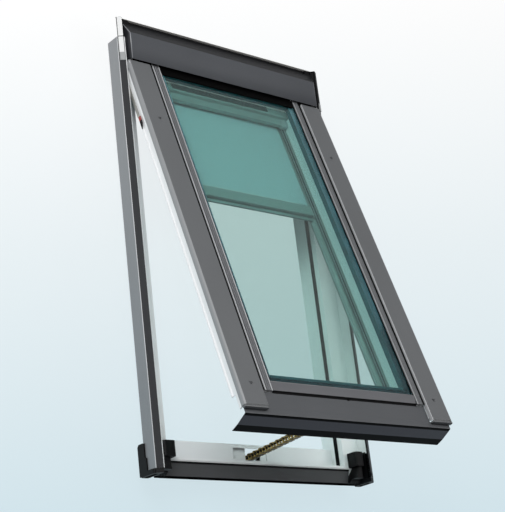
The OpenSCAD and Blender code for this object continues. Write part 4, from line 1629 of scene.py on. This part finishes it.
@dataclass
class Blind:
    """Roller blind under the glass: cassette, cloth, bar and side rails.

    The rail's section is written in millimetres.
    """

    maker: Maker
    half: float = 219 * MM
    drop: float = 22 * MM
    lift: float = 15 * MM
    pocket: float = 10 * MM
    pocket_z: Sizes = mm(-1.6, -0.4)
    bar_r: float = 0.6 * MM
    rail_top: float = 500 * MM
    rail_section: Sequence[Point] = (
        (250, 59), (226, 59), (226, 57), (240, 57), (240, 51), (226, 51), (226, 44),
        (219.6, 44), (219.6, 36), (250, 36),
    )
    grooves: Sequence[tuple[Sizes, Sizes, float]] = (
        (mm(233, 239), mm(58.4, 60), 0.7 * MM),
        (mm(225.6, 228.4), mm(58.4, 59.6), 0.4 * MM),
    )
    braid_x: float = 222.8 * MM
    braid_z: float = 43.9 * MM
    braid_pitch: float = 7 * MM
    braid_slant: float = 0.8
    braid_size: Sizes = mm(3, 1.4, 1.2)
    body: Spans = (mm(-222, 222), mm(453, 511), mm(62, 77))
    shelf: Spans = (mm(-250, 250), mm(478, 504.6), mm(70, 87.4))
    cap: Spans = (mm(222, 250), mm(451, 511), mm(58, 77))
    solar_middle: float = 474.5 * MM
    solar_lift: float = 19.5 * MM
    solar_share: float = 0.72
    solar_drop: float = 0.8 * MM
    ripple: float = 0.25 * MM
    ripple_pace: float = 70
    columns: int = 60
    rows: int = 40

    def hung(self, shut: Vector) -> Vector:
        """Place of a corner of the bar: narrower, deeper under the glass and a little higher up."""
        share = self.half / self.maker.closed_box("blind_bar")[1].x
        return Vector((shut.x * share, shut.y + self.lift, shut.z - self.drop))

    def rail(self, side: Side) -> None:
        """Side rail: a slotted profile with two dark grooves on top and a braid on its lower lip.

        Args:
            side: The side of the window.
        """
        name = f"blind_rail_{side.word}"
        along = (self.maker.closed_box(name)[0].y, self.rail_top)
        outline = [(side.value * x * MM, z * MM) for x, z in self.rail_section]
        self.maker.hang(name + ".profile", pulled(outline, Axis.Y, *along), BLIND_WHITE, [name])
        grooves = [slab(side.span(x), along, z, radius) for x, z, radius in self.grooves]
        self.maker.hang(f"blind_groove_{side.word}", joined(grooves), SPACER_DARK)
        braid = bmesh.new()
        pitch = self.braid_pitch
        for i in range(int((along[1] - along[0]) / pitch)):
            place = Vector((side.value * self.braid_x, along[0] + (i + 0.5) * pitch, self.braid_z))
            lozenge(braid, place, self.braid_slant, self.braid_size)
        self.maker.hang(f"blind_braid_{side.word}", braid, SPACER_DARK)

    def cassette(self) -> None:
        """Flat cassette with two caps, and the solar strip on it."""
        whole = joined((slab(*self.body, 2.5 * MM, 4), slab(*self.shelf, 2 * MM, 4)))
        self.maker.hang("blind_cassette.body", whole, BLIND_WHITE, ["blind_cassette"])
        x, y, z = self.cap
        for side in Side:
            self.maker.hang(f"cassette_cap_{side.word}", slab(side.span(x), y, z, 3 * MM, 4), CAP_GREY)
        self.maker.soften("solar_strip", SOLAR, Body.SASH, 0.4 * MM, move=self.maker.shut(self.solar))

    def solar(self, shut: Vector) -> Vector:
        """Place of a corner of the solar strip on the flat cassette.

        Args:
            shut: A corner's place in the closed sash.

        Returns:
            Its new place.
        """
        middle = self.solar_middle
        y = middle + self.solar_lift + (shut.y - middle) * self.solar_share
        return Vector((shut.x, y, shut.z - self.solar_drop))

    def weave(self, start: float, end: float, z: float) -> bpy.types.Mesh:
        """The cloth's mesh: a flat grid with a slight ripple across its width.

        Args:
            start: Lowest Y.
            end: Highest Y.
            z: Height.

        Returns:
            The mesh in the closed sash.
        """
        shape = bmesh.new()
        grid = []
        for j in range(self.rows + 1):
            y = start + (end - start) * j / self.rows
            line = []
            for i in range(self.columns + 1):
                x = 2 * self.half * i / self.columns - self.half
                wave = math.sin(x * self.ripple_pace) * math.sin(math.pi * j / self.rows)
                line.append(shape.verts.new((x, y, z + self.ripple * wave)))
            grid.append(line)
        for near, far in zip(grid, grid[1:]):
            for i in range(self.columns):
                shape.faces.new((near[i], near[i + 1], far[i + 1], far[i]))
        mesh = bpy.data.meshes.new("blind_cloth")
        shape.to_mesh(mesh)
        shape.free()
        return mesh

    def cloth(self) -> None:
        """The pulled-out cloth between the roller and a pocket in the bar."""
        low, high = self.maker.closed_box("blind_fabric")
        low.y += self.lift + self.pocket
        middle = (low.z + high.z) / 2 - self.drop
        reach = (low.y - self.pocket - 1 * MM, low.y)
        hem = slab((-self.half, self.half), reach, off(middle, self.pocket_z), 0.3 * MM)
        self.maker.add("blind_bar.pocket", hem, BLIND_WHITE, Body.BAR, turned=True)
        turn = self.maker.opening.matrix
        mesh = self.weave(low.y, high.y, middle)
        mesh.transform(turn)
        piece = bpy.data.objects.new("blind_cloth", mesh)
        bpy.context.scene.collection.objects.link(piece)
        mesh.materials.append(CLOTH.material())
        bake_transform(piece)
        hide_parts("blind_fabric")

    def build(self) -> None:
        """All pieces of the blind."""
        self.cassette()
        self.maker.dress("blind_roller", TUBE)
        hung = self.maker.shut(self.hung)
        bar = self.maker.soften("blind_bar", BLIND_WHITE, Body.BAR, self.bar_r, move=hung)
        ahead = self.maker.opening.ahead
        self.maker.paint(bar, (BLIND_DARK,), lambda face: int(face.normal.dot(ahead) > 0.25))
        self.maker.soften("blind_bar_caps", CAP_GREY, Body.BAR, self.bar_r, move=hung)
        for side in Side:
            self.rail(side)
        self.cloth()


@dataclass
class Studio:
    """Pale floor, soft light and the camera at the photograph's place."""

    place: Vector = field(default_factory=lambda: Vector((-2.524, -1.412, 3.042)))
    ahead: Vector = field(default_factory=lambda: Vector((0.6184, 0.3388, -0.7090)))
    above: Vector = field(default_factory=lambda: Vector((-0.1307, 0.9341, 0.3323)))
    focal_px: float = 1409.1
    photo_h: int = 512
    sensor: float = 36.0
    floor_half: float = 12.0
    floor_drop: float = 0.5 * MM
    floor_glow: float = 0.9
    fade: Sequence[tuple[float, str]] = ((0.0, "d3e5ec"), (0.53, "e9f1f4"), (1.0, "ffffff"))
    sky: str = "f3f4f5"
    sky_strength: float = 0.35

    def camera(self) -> None:
        """A camera that sees what the photograph shows."""
        data = bpy.data.cameras.new("camera")
        data.sensor_fit = "VERTICAL"
        data.sensor_height = self.sensor
        data.lens = self.focal_px * self.sensor / self.photo_h
        camera = bpy.data.objects.new("camera", data)
        bpy.context.scene.collection.objects.link(camera)
        right = self.ahead.cross(self.above).normalized()
        up = right.cross(self.ahead).normalized()
        axes = Matrix((right, up, -self.ahead.normalized())).transposed()
        camera.matrix_world = Matrix.Translation(self.place) @ axes.to_4x4()
        bpy.context.scene.camera = camera

    def floor_material(self) -> bpy.types.Material:
        """Pale floor that fades from white to a light blue down the picture.

        Returns:
            The material.
        """
        graph = Graph("pale floor")
        place = graph.node("ShaderNodeNewGeometry", output="Position")
        away = graph.node("ShaderNodeVectorMath", {"operation": "SUBTRACT"}, {0: place, 1: self.place})
        up, depth = (
            graph.node("ShaderNodeVectorMath", {"operation": "DOT_PRODUCT"}, {0: away, 1: axis}, "Value")
            for axis in (self.above, self.ahead)
        )
        share = graph.node("ShaderNodeMath", {"operation": "DIVIDE"}, {0: up, 1: depth})
        edge = self.photo_h / 2 / self.focal_px
        limits = {"Value": share, "From Min": -edge, "From Max": edge, "To Min": 0, "To Max": 1}
        height = graph.node("ShaderNodeMapRange", None, limits)
        stops = [(stop, linear(code)) for stop, code in self.fade]
        colour = graph.node("ShaderNodeValToRGB", {"stops": stops}, {0: height})
        ray = graph.node("ShaderNodeLightPath", output="Is Camera Ray")
        seen = ray + ray.output("Is Glossy Ray") + ray.output("Is Transmission Ray")
        lit = graph.principled(Base_Color=colour, Roughness=0.8)
        glow = graph.node("ShaderNodeEmission", None, {"Color": colour, "Strength": 1.0})
        parts = {0: seen * self.floor_glow, 1: lit, 2: glow}
        return graph.finish(graph.node("ShaderNodeMixShader", None, parts))

    def floor(self) -> None:
        """A wide floor just under the frame."""
        shape = bmesh.new()
        bmesh.ops.create_grid(shape, x_segments=1, y_segments=1, size=self.floor_half)
        mesh = bpy.data.meshes.new("floor")
        shape.to_mesh(mesh)
        shape.free()
        mesh.materials.append(self.floor_material())
        floor = bpy.data.objects.new("floor", mesh)
        bpy.context.scene.collection.objects.link(floor)
        floor.location.z = -self.floor_drop

    def lamp(self, name: str, place: Sequence[float], size: float, watts: float) -> None:
        """A square soft lamp that looks at the middle of the frame.

        Args:
            name: The lamp's name.
            place: Where it stands.
            size: Length of its sides.
            watts: Its power.
        """
        data = bpy.data.lights.new(name, "AREA")
        data.size = size
        data.energy = watts
        lamp = bpy.data.objects.new(name, data)
        bpy.context.scene.collection.objects.link(lamp)
        lamp.location = place
        lamp.rotation_euler = (-Vector(place)).to_track_quat("-Z", "Y").to_euler()

    def build(self) -> None:
        """Camera, floor, lamps and world."""
        self.camera()
        self.floor()
        self.lamp("key", (-2.8, 1.25, 3.2), size=2.2, watts=112)
        self.lamp("fill", (1.8, -0.2, 3.0), size=1.4, watts=18)
        self.lamp("top", (0.4, 0.6, 4.2), size=3.0, watts=40)
        world = bpy.data.worlds.new("studio")
        world.use_nodes = True
        backdrop = world.node_tree.nodes["Background"]
        backdrop.inputs["Color"].default_value = linear(self.sky)
        backdrop.inputs["Strength"].default_value = self.sky_strength
        bpy.context.scene.world = world
        bpy.context.scene.view_settings.view_transform = "Standard"


def main() -> None:
    """Builds the studio and every sub-assembly."""
    logging.basicConfig(level=logging.INFO, format="%(name)s: %(message)s")
    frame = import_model()
    Studio().build()
    maker = Maker(frame, Opening.read(frame["joints"]))
    for assembly in (Lining, Cladding, Hinges, Drive, SashFrame, Glazing, Blind):
        assembly(maker).build()


if __name__ == "__main__":
    main()
